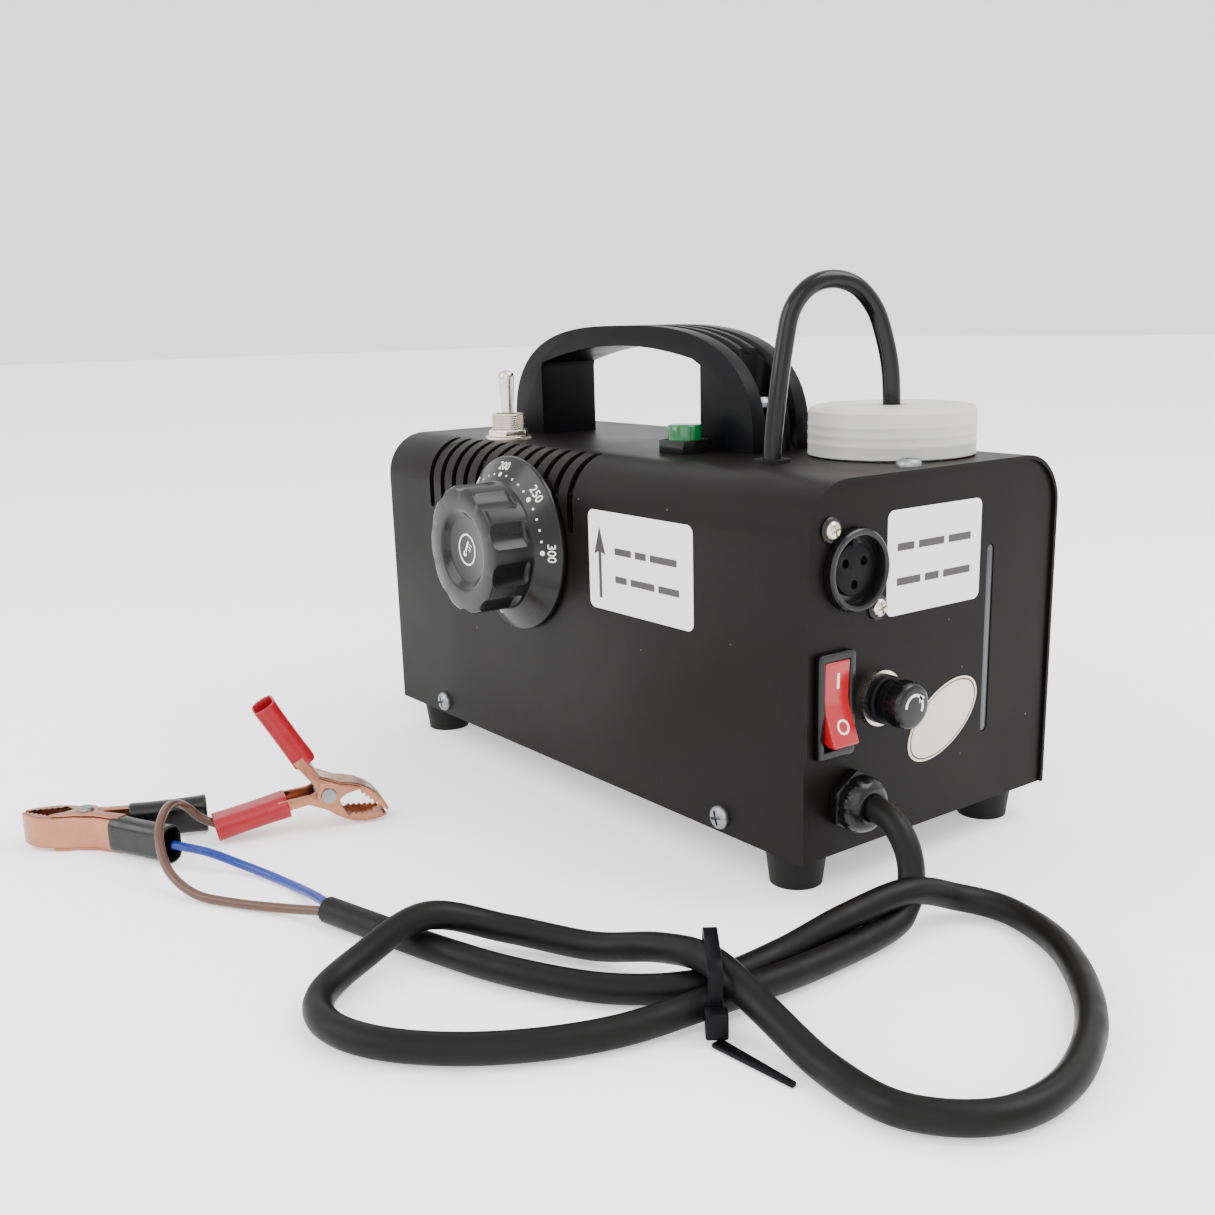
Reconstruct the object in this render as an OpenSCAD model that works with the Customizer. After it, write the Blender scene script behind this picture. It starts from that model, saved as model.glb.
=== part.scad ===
// Compact 12 V fog machine: sheet-metal case, fluid bottle, heater, pump, dial thermostat,
// switches, carrying handle and a battery lead with two clips. Millimetres, +Z up.
// The nozzle end faces -Y, the control panel faces +Y, and the feet stand on z = 0.

/* [Case] */
// Outside width of the case
case_w = 110; // [106:1:116]
// Outside length of the case
case_l = 236; // [230:1:244]
// Outside height of the case, without its feet
case_h = 108; // [106:1:112]
// Outside radius of the two long upper edges
edge_r = 16; // [12:1:18]
// Sheet thickness
sheet = 1.2; // [1:0.1:1.5]
// Height of a rubber foot
foot_h = 12; // [10:1:14]

/* [Vents] */
// Vent slots in each upper edge
vent_count = 12; // [8:1:12]
// Distance between vent slots
vent_pitch = 8.4; // [7:0.1:8.6]
// Width of a vent slot
vent_w = 3.2; // [2:0.1:4]

/* [Handle] */
// Width of the handle
handle_w = 25; // [22:1:27]
// Length of the handle over its two legs
handle_l = 140; // [136:1:142]
// Height of the handle above the case
handle_h = 40.5; // [38:0.5:46]

/* [Dial] */
// Radius of the dial skirt's rim
skirt_r = 30.3; // [28:0.1:30.6]
// Radius of the knob
knob_r = 22; // [20:0.5:23]
// How far the knob stands out of the case
knob_out = 22.7; // [20:0.1:26]

/* [Bottle] */
// Outside radius of the bottle cap
cap_r = 26; // [25.5:0.1:26.5]
// Height of the bottle cap
cap_h = 15; // [14:0.5:17]

/* [Lead] */
// Diameter of the power cable
cable_d = 7.6; // [6:0.1:7.6]
// Diameter of each wire
wire_d = 2.8; // [2:0.1:3]
// Diameter of the feed hose
hose_d = 5.6; // [4:0.1:5.6]

/* [Hidden] */

$fn = 48;
e = 0.5;                        // how far a cutter runs past what it cuts

// Case planes
half_w = case_w / 2;
half_l = case_l / 2;
bottom_z = foot_h;
top_z = foot_h + case_h;
inner_w = half_w - sheet;
plate_y = half_l - 1;           // outer face of the front and rear plates
plate_in = plate_y - sheet;     // their inner face
pan_z = bottom_z + sheet;       // upper face of the base pan

// Where each control stands
dial_y = -24.1;
dial_z = 87.5;
toggle = [32, -64];
lamp = [22.6, 29];
hose_hole = [25, 73];
neck = [-15.6, 83.8];
xlr = [35.3, 94.4];             // x and z on the rear plate
xlr_screw = [9.5, 12];          // half of the standard 19 by 24 spacing
switch_pos = [43, 57.2];
fuse = [24, 55.6];
gland = [35.6, 27.4];
cover_screw_y = 83;
cover_screw_z = 17;
top_screw = [6, 110];
foot_xy = [43, 103];
handle_mid = -19;
handle_screw_y = [-79, 41];
window_x = -24;
nozzle_z = 62;
cap_gap = 0.4;                  // under the bottle cap

// ---- small helpers ----

// Rounded rectangle of squares and circles, centred
module rounded(w, h, r) {
    square([w - 2 * r, h], center = true);
    square([w, h - 2 * r], center = true);
    for (x = [-1, 1], y = [-1, 1])
        translate([x * (w / 2 - r), y * (h / 2 - r)]) circle(r);
}

// Case outline in x and z, with its two upper corners rounded
module case_outline(inset, z0) {
    w = half_w - inset;
    r = edge_r - inset;
    translate([-w, z0]) square([2 * w, top_z - edge_r - z0]);
    translate([-w + r, z0]) square([2 * (w - r), top_z - inset - z0]);
    for (s = [-1, 1]) translate([s * (w - r), top_z - edge_r]) circle(r, $fn = 96);
}

// Extrude an x-z outline along +Y, from y0 over a length
module along_y(y0, length) {
    translate([0, y0 + length, 0]) rotate([90, 0, 0]) linear_extrude(length) children();
}

// Cylinder along +Y or +X, from its start
module rod_y(x, y, z, r, length) { translate([x, y, z]) rotate([-90, 0, 0]) cylinder(h = length, r = r); }
module rod_x(x, y, z, r, length) { translate([x, y, z]) rotate([0, 90, 0]) cylinder(h = length, r = r); }
module rod_z(x, y, z, r, length) { translate([x, y, z]) cylinder(h = length, r = r); }

// Pan-head screw along +Z: its head's underside is at z = 0
module pan_screw(head_r, head_h, shank_r, shank_l) {
    cylinder(h = head_h * 0.45, r = head_r);
    translate([0, 0, head_h * 0.45]) cylinder(h = head_h * 0.55, r1 = head_r, r2 = head_r * 0.62);
    translate([0, 0, -shank_l]) cylinder(h = shank_l, r = shank_r);
}

// ---- swept tubes: a smooth curve through hand-chosen points ----

function unit(v) = v / norm(v);

function on_curve(p, i, t) =
    let (a = p[max(i - 1, 0)], b = p[i], c = p[i + 1], d = p[min(i + 2, len(p) - 1)])
    0.5 * (2 * b + (c - a) * t + (2 * a - 5 * b + 4 * c - d) * t * t
        + (3 * b - a - 3 * c + d) * t * t * t);

function curve(p, steps) = concat(
    [for (i = [0 : len(p) - 2], s = [0 : steps - 1]) on_curve(p, i, s / steps)],
    [p[len(p) - 1]]);

function tangents(q) = [for (i = [0 : len(q) - 1])
    unit(q[min(i + 1, len(q) - 1)] - q[max(i - 1, 0)])];

// A side direction carried along the curve without twist
function carried(n, t) = unit(n - (n * t) * t);
function sides_of(t, first) = [for (i = 0, n = carried(first, t[0]); i < len(t);
    i = i + 1, n = i < len(t) ? carried(n, t[i]) : n) n];

module swept_tube(p, r, steps, around, first_side) {
    q = curve(p, steps);
    t = tangents(q);
    n = sides_of(t, first_side);
    points = [for (i = [0 : len(q) - 1], k = [0 : around - 1])
        q[i] + r * (cos(360 * k / around) * n[i] + sin(360 * k / around) * cross(t[i], n[i]))];
    last = (len(q) - 1) * around;
    walls = [for (i = [0 : len(q) - 2], k = [0 : around - 1], half = [0, 1])
        let (a = i * around + k, b = i * around + (k + 1) % around)
        half == 0 ? [a, a + around, b] : [b, a + around, b + around]];
    ends = [[for (k = [0 : around - 1]) k],
            [for (k = [around - 1 : -1 : 0]) last + k]];
    polyhedron(points, concat(walls, ends), convexity = 8);
}

// ---- case ----

module vent_slots(s) {
    for (i = [0 : vent_count - 1]) {
        y = -84 + vent_pitch * i;
        translate([s * (half_w - 3), y, top_z - 4])
            cube([18, vent_w, 40], center = true);
        translate([s * (half_w - 3) - 9 * s, y, top_z - 6]) cylinder(h = 12, r = vent_w / 2);
        rod_x(s > 0 ? half_w - 6 : -half_w - 6, y, top_z - 24, vent_w / 2, 12);
    }
}

module top_cover() {
    color("#1d1b1a") difference() {
        along_y(-half_l, case_l) difference() {
            case_outline(0, bottom_z);
            case_outline(sheet, bottom_z - e);
            translate([-inner_w, bottom_z - e]) square([2 * inner_w, case_h - edge_r]);
        }
        vent_slots(1);
        vent_slots(-1);
        rod_x(half_w - 3, dial_y, dial_z, 5, 5);
        for (x = [-half_w - 1, half_w - 3], y = [-1, 1])
            rod_x(x, y * cover_screw_y, cover_screw_z, 2, 4);
        for (y = [-1, 1]) rod_z(top_screw.x, y * top_screw.y, top_z - 4, 2, 6);
        for (y = handle_screw_y) rod_z(0, y, top_z - 4, 2.2, 6);
        rod_z(toggle.x, toggle.y, top_z - 4, 5.9, 6);
        rod_z(lamp.x, lamp.y, top_z - 4, 4.8, 6);
        rod_z(hose_hole.x, hose_hole.y, top_z - 4, 4.6, 6);
        rod_z(neck.x, neck.y, top_z - 4, 24.4, 6);
    }
}

module base_pan() {
    color("#242221") difference() {
        union() {
            translate([-inner_w, -plate_y, bottom_z]) cube([2 * inner_w, 2 * plate_y, sheet]);
            for (s = [-1, 1])
                translate([s > 0 ? inner_w - sheet : -inner_w, -plate_in, bottom_z])
                    cube([sheet, 2 * plate_in, 13]);
        }
        for (x = [-inner_w - 1, inner_w - 3], y = [-1, 1])
            rod_x(x, y * cover_screw_y, cover_screw_z, 2, 4);
        for (x = [-1, 1], y = [-1, 1]) rod_z(x * foot_xy.x, y * foot_xy.y, bottom_z - 1, 2, 4);
        for (x = [-24 : 8 : 24])
            translate([x, -60, bottom_z]) cube([3, 40, 6], center = true);
    }
}

// A flat end plate with a folded tab at the top for the cover's screw
module end_plate(side) {
    y = side > 0 ? plate_in : -plate_y;
    tab = 11;
    along_y(y, sheet) case_outline(sheet, pan_z);
    translate([top_screw.x - 10, side > 0 ? plate_in - tab : -plate_in, top_z - 2 * sheet])
        difference() {
            cube([20, tab, sheet]);
            translate([10, side > 0 ? top_screw.y - (plate_in - tab) : plate_in - top_screw.y, -1])
                cylinder(h = 4, r = 2);
        }
}

module front_plate() {
    color("#1f1e1e") difference() {
        end_plate(-1);
        rod_y(0, -plate_y - 1, nozzle_z, 13, 4);
        for (s = [-1, 1], i = [0 : 4])
            translate([s * 32, -plate_y, nozzle_z - 24 + 12 * i]) cube([18, 6, 3.2], center = true);
    }
}

module rear_plate() {
    color("#1f1e1e") difference() {
        end_plate(1);
        rod_y(xlr.x, plate_in - 1, xlr.y, 12, 4);
        for (s = [-1, 1])
            rod_y(xlr.x + s * xlr_screw.x, plate_in - 1, xlr.y + s * xlr_screw.y, 1.5, 4);
        translate([switch_pos.x, plate_y, switch_pos.y]) cube([12.4, 6, 27], center = true);
        rod_y(fuse.x, plate_in - 1, fuse.y, 6.4, 4);
        rod_y(gland.x, plate_in - 1, gland.y, 6, 4);
        translate([window_x, plate_y, 65]) cube([3.2, 6, 56], center = true);
        for (s = [-1, 1]) rod_y(window_x, plate_in - 1, 65 + s * 28, 1.6, 4);
    }
}

module cover_screws() {
    color("#8f8f90") {
        for (s = [-1, 1], y = [-1, 1])
            translate([s * half_w, y * cover_screw_y, cover_screw_z])
                rotate([0, s * 90, 0]) pan_screw(3.7, 2.4, 2, 5);
        for (y = [-1, 1])
            translate([top_screw.x, y * top_screw.y, top_z]) pan_screw(3.7, 2.4, 2, 5);
    }
}

module feet() {
    color("#141414") for (x = [-1, 1], y = [-1, 1])
        translate([x * foot_xy.x, y * foot_xy.y, 0]) difference() {
            union() {
                cylinder(h = foot_h, r1 = 7.9, r2 = 9.4);
                cylinder(h = pan_z - 0.1, r = 2);
            }
            translate([0, 0, -1]) cylinder(h = 5, r = 3.6);
        }
}

// ---- handle ----

function bow(a, b, n, s) = [a * sign(cos(s)) * pow(abs(cos(s)), 2 / n),
                            b * pow(abs(sin(s)), 2 / n)];

module handle() {
    outer = [for (s = [0 : 5 : 180]) bow(handle_l / 2, handle_h, 2.8, s)];
    crown = [for (y = [44 : -10.5 : -50.5]) [y, handle_h - 6.9 - y * y / 380]];
    opening = concat([[44, -1]], crown, [[-50.5, -1]]);
    color("#18171a") translate([0, handle_mid, top_z]) difference() {
        rotate([90, 0, 90]) translate([0, 0, -handle_w / 2]) linear_extrude(handle_w)
            difference() {
                polygon(outer);
                polygon(opening);
            }
        translate([-6, 53, 14]) cube([12, 30, 40]);
        translate([-6, -83, 14]) cube([12, 28, 40]);
        for (y = handle_screw_y) translate([0, y - handle_mid, -1]) cylinder(h = 20, r = 2.2);
    }
}

module handle_screws() {
    color("#6d6d6d") for (y = handle_screw_y)
        translate([0, y, top_z + 14]) pan_screw(4, 3, 2.2, 20);
}

// ---- switches and lamp ----

module toggle_body() {
    color("#a8a39b") translate([toggle.x, toggle.y, 0]) difference() {
        union() {
            translate([-7, -14, top_z - sheet - 20]) cube([14, 28, 20]);
            translate([0, 0, top_z - sheet]) cylinder(h = 9.2 + sheet, r = 5.8);
            for (y = [-9, 0, 9]) translate([-2.5, y - 0.5, top_z - sheet - 28]) cube([5, 1, 8]);
        }
        translate([0, 0, top_z - 3]) cylinder(h = 20, r = 4.5);
    }
}

module toggle_nut() {
    color("#c9c4bb") translate([toggle.x, toggle.y, top_z]) difference() {
        union() {
            cylinder(h = 0.9, r = 8.8);
            translate([0, 0, 0.9]) cylinder(h = 2.4, r = 8, $fn = 6);
        }
        translate([0, 0, -1]) cylinder(h = 6, r = 5.8);
    }
}

module toggle_lever() {
    color("#d5d0c6") translate([toggle.x, toggle.y, top_z + 1]) {
        sphere(3.4);
        rotate([0, 90, 0]) cylinder(h = 8.6, r = 0.9, center = true);
        cylinder(h = 22.5, r1 = 2, r2 = 2.9);
        translate([0, 0, 22.5]) cylinder(h = 1.5, r1 = 2.9, r2 = 1.2);
    }
}

module lamp_bezel() {
    color("#141414") translate([lamp.x, lamp.y, 0]) {
        translate([-6.3, -6.3, top_z]) cube([12.6, 12.6, 4.2]);
        translate([0, 0, top_z - 16]) cylinder(h = 16, r = 4.8);
        for (x = [-2.5, 2.5]) translate([x - 0.4, -1.5, top_z - 24]) cube([0.8, 3, 8]);
    }
}

module lamp_lens() {
    color("#0c8a4a") translate([lamp.x, lamp.y, top_z + 4.2]) cylinder(h = 4.8, r = 5.6);
}

module rocker_frame() {
    y0 = plate_y - 20;
    color("#101010") translate([switch_pos.x, 0, switch_pos.y]) difference() {
        union() {
            translate([-6.2, y0, -13.5]) cube([12.4, 20, 27]);
            along_y(plate_y, 2) rounded(14.4, 30.5, 1.2);
            for (z = [-7, 7]) translate([-0.4, y0 - 8, z - 2.4]) cube([0.8, 8, 4.8]);
        }
        translate([-5, plate_y - 8, -12.7]) cube([10, 12, 25.4]);
        rod_x(-5.7, plate_y - 1.5, 0, 1.6, 11.4);
    }
}

// A see-saw: upper end pressed in, lower end standing out
module rocker() {
    color("#c8161d") translate([switch_pos.x, plate_y - 1.5, switch_pos.y]) {
        rod_x(-5.6, 0, 0, 1.5, 11.2);
        rotate([10, 0, 0]) translate([-4.8, 0, 0]) rotate([90, 0, 90]) linear_extrude(9.6)
            polygon([[-4.5, -5], [-4.5, 5], [2.3, 11.6], [5.7, 11.9], [3.4, 0], [5.7, -11.9],
                     [2.3, -11.6]]);
    }
}

module fuse_holder() {
    color("#161616") difference() {
        union() {
            rod_y(fuse.x, plate_y + 1.2, fuse.y, 7.2, 2.8);
            rod_y(fuse.x, plate_y - 32, fuse.y, 6.4, 33.2);
            translate([fuse.x - 0.4, plate_y - 40, fuse.y - 2.4]) cube([0.8, 8, 4.8]);
        }
        rod_y(fuse.x, plate_y - 28, fuse.y, 5.2, 40);
    }
}

module fuse_ring() {
    color("#8b8b8b") difference() {
        rod_y(fuse.x, plate_y, fuse.y, 8.2, 1.2);
        rod_y(fuse.x, plate_y - 1, fuse.y, 6.4, 4);
    }
}

module fuse_cap() {
    color("#121212") difference() {
        union() {
            rod_y(fuse.x, plate_y + 4.2, fuse.y, 5.9, 3);
            rod_y(fuse.x, plate_y + 7.2, fuse.y, 6.7, 6);
            rod_y(fuse.x, plate_y - 8, fuse.y, 5, 12.2);
        }
        rod_y(fuse.x, plate_y - 9, fuse.y, 3.4, 19);
    }
}

module fuse_tube() {
    color("#d8d8d0") {
        rod_y(fuse.x, plate_y - 21, fuse.y, 3.18, 6);
        rod_y(fuse.x, plate_y - 15, fuse.y, 2.9, 18);
        rod_y(fuse.x, plate_y + 3, fuse.y, 3.18, 6);
    }
}

// ---- signal socket and cable gland ----

module xlr_shell() {
    color("#191919") difference() {
        union() {
            rod_y(xlr.x, plate_in - 20, xlr.y, 11.8, 22.9);
            translate([xlr.x, 0, xlr.y]) along_y(plate_in - 2, 2) rounded(26, 31, 3);
        }
        rod_y(xlr.x, plate_in - 12, xlr.y, 9.6, 20);
        for (s = [-1, 1])
            rod_y(xlr.x + s * xlr_screw.x, plate_in - 3, xlr.y + s * xlr_screw.y, 1.5, 4);
    }
}

module xlr_insert() {
    color("#141414") translate([xlr.x, plate_in - 12, xlr.y]) rotate([-90, 0, 0]) difference() {
        cylinder(h = 13.4, r = 7.5);
        for (a = [30, 150, 270])
            translate([4.2 * cos(a), -4.2 * sin(a), 3]) cylinder(h = 12, r = 1.3);
    }
}

module xlr_screws() {
    color("#b9b9b9") for (s = [-1, 1])
        translate([xlr.x + s * xlr_screw.x, plate_y, xlr.y + s * xlr_screw.y])
            rotate([-90, 0, 0]) pan_screw(2.6, 1.4, 1.5, 6);
}

module cable_gland() {
    color("#131313") difference() {
        union() {
            rod_y(gland.x, plate_y - 9, gland.y, 6, 10);
            translate([gland.x, plate_y + 3.5, gland.y]) rotate([90, 0, 0])
                cylinder(h = 3.5, r = 9.6, $fn = 6);
            rod_y(gland.x, plate_y + 3.5, gland.y, 8.3, 3);
            translate([gland.x, plate_y + 6.5, gland.y]) rotate([-90, 0, 0])
                cylinder(h = 3, r1 = 8.3, r2 = 5.6);
            translate([gland.x, plate_in, gland.y]) rotate([90, 0, 0])
                cylinder(h = 3.5, r = 9.6, $fn = 6);
        }
        rod_y(gland.x, plate_y + 1.2, gland.y, cable_d / 2 + 0.1, 12);
    }
}

// ---- thermostat ----

module thermostat_body() {
    color("#b6b6b8") difference() {
        union() {
            translate([inner_w - 22, dial_y - 18, dial_z - 17]) cube([18, 36, 34]);
            translate([inner_w - 4, dial_y - 12, dial_z - 7]) cube([4, 24, 14]);
        }
        rod_x(inner_w - 16, dial_y, dial_z, 3.06, 20);
    }
}

module dial_shaft() {
    color("#c8c8c8") rod_x(inner_w - 15.5, dial_y, dial_z, 3, 30);
}

module dial_knob() {
    out = knob_out;
    color("#161616") translate([half_w, dial_y, dial_z]) rotate([0, 90, 0]) difference() {
        union() {
            translate([0, 0, 0.6]) cylinder(h = 1.6, r = skirt_r, $fn = 96);
            translate([0, 0, 2.2]) cylinder(h = 5, r1 = skirt_r - 0.3, r2 = knob_r + 1.2, $fn = 96);
            translate([0, 0, 7.2]) cylinder(h = out - 8.7, r = knob_r);
            translate([0, 0, out - 1.5]) cylinder(h = 1.5, r1 = knob_r, r2 = knob_r - 1.5);
        }
        for (a = [0 : 36 : 324]) rotate(a + 18) translate([knob_r + 7.4, 0, 9])
            cylinder(h = out, r = 9);
        translate([0, 0, out - 2.2]) cylinder(h = 4, r1 = 11.4, r2 = 14.6);
        translate([0, 0, -1]) cylinder(h = inner_w - 15.5 + 30 - half_w + 1, r = 3);
        translate([0, 0, -1]) cylinder(h = 3, r = 5.4);
    }
}

module thermostat_bulb() {
    color("#b87a4a") {
        rod_y(12, -78, 78, 2, 40);
        rod_y(12, -38, 78, 0.9, 21);
        translate([12, -17, 78]) sphere(0.9);
        rod_x(12, -17, 78, 0.9, inner_w - 22 - 12);
    }
}

// ---- fluid bottle, cap and hoses ----

module tank() {
    shoulder = top_z - 8;
    color("#e6e4de") translate([neck.x, neck.y, 0]) difference() {
        union() {
            translate([0, 0, pan_z]) linear_extrude(shoulder - pan_z) rounded(60, 54, 8);
            translate([0, 0, shoulder - 2]) cylinder(h = top_z + 12.4 - shoulder, r = 22.4);
            for (z = [2, 5.5, 9]) translate([0, 0, top_z + z - 0.6]) cylinder(h = 1.2, r = 23.2);
        }
        translate([0, 0, pan_z + 1.6]) linear_extrude(shoulder - pan_z - 3.2)
            rounded(56.8, 50.8, 6.4);
        translate([0, 0, shoulder - 8]) cylinder(h = 40, r = 20.4);
    }
}

module tank_cap() {
    color("#e9e7e3") translate([neck.x, neck.y, top_z + cap_gap]) difference() {
        union() {
            cylinder(h = cap_h - 1.2, r = cap_r);
            translate([0, 0, cap_h - 1.2]) cylinder(h = 1.2, r1 = cap_r, r2 = cap_r - 1.2);
        }
        translate([0, 0, -1]) cylinder(h = cap_h - 1.4, r = 23.6);
        translate([0, 0, -1]) cylinder(h = 30, r = 4.3);
    }
}

module cap_seal() {
    color("#f2f2f0") translate([neck.x, neck.y, top_z + 10.6]) difference() {
        cylinder(h = 1.8, r = 23);
        translate([0, 0, -1]) cylinder(h = 5, r = 4.3);
    }
}

module dip_tube() {
    color("#3a3a3a") difference() {
        rod_z(neck.x, neck.y, 18, hose_d / 2, top_z + 10.5 - 18);
        rod_z(neck.x, neck.y, 17, 1.6, top_z - 10 - 17);
    }
}

module hose_grommet() {
    color("#111111") translate([hose_hole.x, hose_hole.y, top_z]) difference() {
        union() {
            translate([0, 0, -sheet]) cylinder(h = sheet, r = 4.6);
            cylinder(h = 1, r = 5.4);
            translate([0, 0, -sheet - 1]) cylinder(h = 1, r = 5.4);
        }
        translate([0, 0, -5]) cylinder(h = 10, r = hose_d / 2 + 0.1);
    }
}

// Loop of the feed hose above the case, from the grommet to the bottle cap
hose_route = [[25, 73, 119], [24.4, 73, 128], [23, 73.5, 141], [21.3, 74, 153],
    [18.9, 74.7, 164], [13, 76, 170.8], [5, 78, 173], [-3, 80, 170.8], [-8.9, 81.8, 164.5],
    [-12.2, 83, 156], [-14.6, 83.8, 145], [-15.6, 83.8, 131]];

module feed_hose() {
    color("#161616") swept_tube(hose_route, hose_d / 2, 1, 8, [0, 1, 0]);
}

// Hose from the grommet down beside the bottle and forward to the pump
module inlet_hose() {
    bend = 12;
    z0 = 30;
    color("#2c2c2c") {
        rod_z(25, 73, z0 + bend, hose_d / 2, 118.6 - z0 - bend);
        translate([25, 73 - bend, z0 + bend]) rotate([90, 0, 90]) rotate_extrude(angle = -90)
            translate([bend, 0]) circle(hose_d / 2, $fn = 24);
        rod_y(25, 44, z0, hose_d / 2, 73 - bend - 44);
    }
}

module pump() {
    color("#5a5d60") {
        translate([8, -8, pan_z]) cube([34, 44, 4]);
        translate([12, -4, pan_z + 4]) cube([26, 36, 26]);
        rod_y(25, 32, 30, 7, 8);
        rod_y(25, 40, 30, 2, 4);
        rod_y(25, -10, 30, 7, 6);
    }
}

// Brass tube from the pump to the heater, in two straight runs and two bends
module outlet_pipe() {
    color("#b08d4a") {
        rod_y(25, -14, 30, 1.6, 4);
        translate([25, -14, 30]) sphere(1.6);
        translate([25, -14, 30]) rotate([0, -27, 0]) cylinder(h = 36, r = 1.6);
        translate([25 - 36 * sin(27), -14, 30 + 36 * cos(27)]) {
            sphere(1.6);
            rotate([90, 0, 0]) cylinder(h = 6, r = 1.6);
        }
    }
}

// ---- heater and nozzle ----

module heater_block() {
    color("#a9abad") difference() {
        translate([-20, -100, 46]) cube([40, 80, 36]);
        rod_y(0, -110, 54, 5, 100);
        rod_y(12, -78, 78, 2, 60);
        rod_y(0, -101, nozzle_z, 3, 6);
    }
}

module heater_element() {
    color("#c9b37a") {
        rod_y(0, -96, 54, 5, 82);
        for (x = [-2, 2]) rod_y(x, -14, 54, 0.8, 6);
    }
}

module heater_bracket() {
    color("#8c8f92") for (y = [-92, -36]) {
        translate([-26, y, pan_z]) cube([52, 8, 1.2]);
        for (s = [-1, 1])
            translate([s > 0 ? 20 : -21.2, y, pan_z + 1.2]) cube([1.2, 8, 50]);
    }
}

module nozzle() {
    color("#b5893c") difference() {
        union() {
            rod_y(0, -100, nozzle_z, 3, 5);
            translate([0, -100, nozzle_z]) rotate([90, 0, 0]) cylinder(h = 8, r = 7.5, $fn = 6);
            translate([0, -108, nozzle_z]) rotate([90, 0, 0]) cylinder(h = 12, r = 5);
            translate([0, -120, nozzle_z]) rotate([90, 0, 0]) cylinder(h = 4, r1 = 5, r2 = 2.6);
        }
        rod_y(0, -112, nozzle_z, 2, 20);
        rod_y(0, -126, nozzle_z, 0.6, 16);
    }
}

module relay_board() {
    color("#2f6b3e") {
        for (x = [-49, -27], y = [-14, 42]) rod_z(x, y, pan_z, 2, 5);
        translate([-52, -17, pan_z + 5]) cube([28, 62, 1.6]);
        translate([-50, -8, pan_z + 6.6]) cube([16, 20, 15]);
        translate([-50, 18, pan_z + 6.6]) cube([10, 20, 10]);
        rod_z(-30, 30, pan_z + 6.6, 4, 14);
    }
}

// ---- labels ----

module side_label() {
    color("#d6d2d3") translate([half_w, 45.2, 87.8]) rotate([90, 0, 90])
        linear_extrude(0.2) rounded(52.4, 32, 2.6);
}

module rear_label() {
    color("#d2cfd0") translate([1.7, plate_y + 0.2, 94]) rotate([90, 0, 0])
        linear_extrude(0.2) rounded(40.8, 30.4, 2.4);
}

module check_sticker() {
    color("#cfc3b4") translate([-4.3, plate_y + 0.2, 43.6]) rotate([90, 30, 0])
        linear_extrude(0.2) polygon([for (a = [0 : 10 : 350]) [17 * cos(a), 9.5 * sin(a)]]);
}

// ---- power cable, laid in a figure of eight on the floor ----

cable_route = [
    [35.6, 118.4, 27.4], [35.6, 127, 27.4], [36.2, 134.5, 25.4], [37.4, 140.5, 20.2],
    [39.8, 144.4, 13.8], [45, 147.3, 8.2], [55, 149.4, 4.8], [86, 150.6, 4.4],
    [113, 149.9, 5.6], [140, 144, 4], [164, 133, 4], [182, 117, 4],
    [190, 100, 4], [186, 85, 4], [171, 77, 6.5], [152, 77, 12.2], [134, 88, 7],
    [121, 108, 5.5], [114, 128, 10.5], [112.6, 146, 13.3], [112.6, 164, 8.5],
    [114, 186, 4], [113, 207, 4], [98, 221, 4], [76, 221, 4], [50, 208, 4],
    [28, 185, 4], [20, 163, 4], [28, 150.5, 6.5], [45, 148, 12.2], [66, 145, 10],
    [88, 142.3, 5.4], [112, 141.9, 5.6], [129, 127, 4], [143, 104, 4], [152, 79, 4],
    [158, 58, 4], [163, 40, 4]];

module power_cable() {
    color("#151515") swept_tube(cable_route, cable_d / 2, 2, 10, [0, 0, 1]);
}

// A closed strap round the three strands, its lock and its loose tail
module cable_tie() {
    color("#0f0f0f") {
        translate([112.6, 146, 9.3]) rotate([0, 0, -37]) rotate([90, 0, 90])
            translate([0, 0, -1.8]) linear_extrude(3.6) difference() {
                rounded(24.6, 18, 5.2);
                rounded(22.4, 15.8, 4.1);
            }
        translate([112.6, 146, 0]) rotate([0, 0, -37]) translate([-2.7, 12.3, 2]) cube([5.4, 4.6, 6.4]);
        translate([120.4, 158.2, 0.3]) rotate([0, 0, 4]) cube([3.4, 24, 1.2]);
    }
}

blue_route = [[161.6, 38.7, 4.4], [161.2, 27, 3], [161.8, 13, 1.6], [164.5, 0, 1.6],
    [169.5, -11, 3.2], [175.5, -20, 5.6], [182.2, -30.4, 6.4]];
brown_route = [[164.7, 39.3, 4.6], [171, 27, 2.2], [180, 13, 1.6], [187, 1, 2.2],
    [190, -12, 6], [188.6, -23, 12.6], [184, -32, 16.4], [178.6, -38.6, 16.9], [173.6, -42.6, 13.6],
    [169.2, -42.7, 8.6], [164.4, -40.6, 5.7]];

module blue_wire() {
    color("#1f3f9a") swept_tube(blue_route, wire_d / 2, 1, 8, [0, 0, 1]);
}

module brown_wire() {
    color("#6b5142") swept_tube(brown_route, wire_d / 2, 1, 8, [0, 0, 1]);
}

// ---- battery clips ----
// In a clip's own frame the rivet is the Z axis, the jaws point to +X, and the first half's
// handle leans to +Y. Both clips are the same stamping, one with wider handles.

jaw_l = 21;
tail_l = 37;                     // from the rivet to the end of a sleeve
arm_l = 33;                      // from the rivet to the end of its metal handle
web = 1;                         // thickness of the jaw's metal
hub = [4.6, 5, 2];               // web height over the rivet, and its two ends along X
arm_w = 10.4;
sleeve_w = 12.2;
sleeve_t = 7.8;
sleeve_from = 13;
red_lean = 36;
black_lean = 22;
red_at = [130.5, -31, 12];
red_turn = 165;                  // heading of the red clip's jaws
red_dip = 25;                    // how far they point down
black_at = [198.5, -64.5, 6.4];
black_turn = -42;

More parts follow.
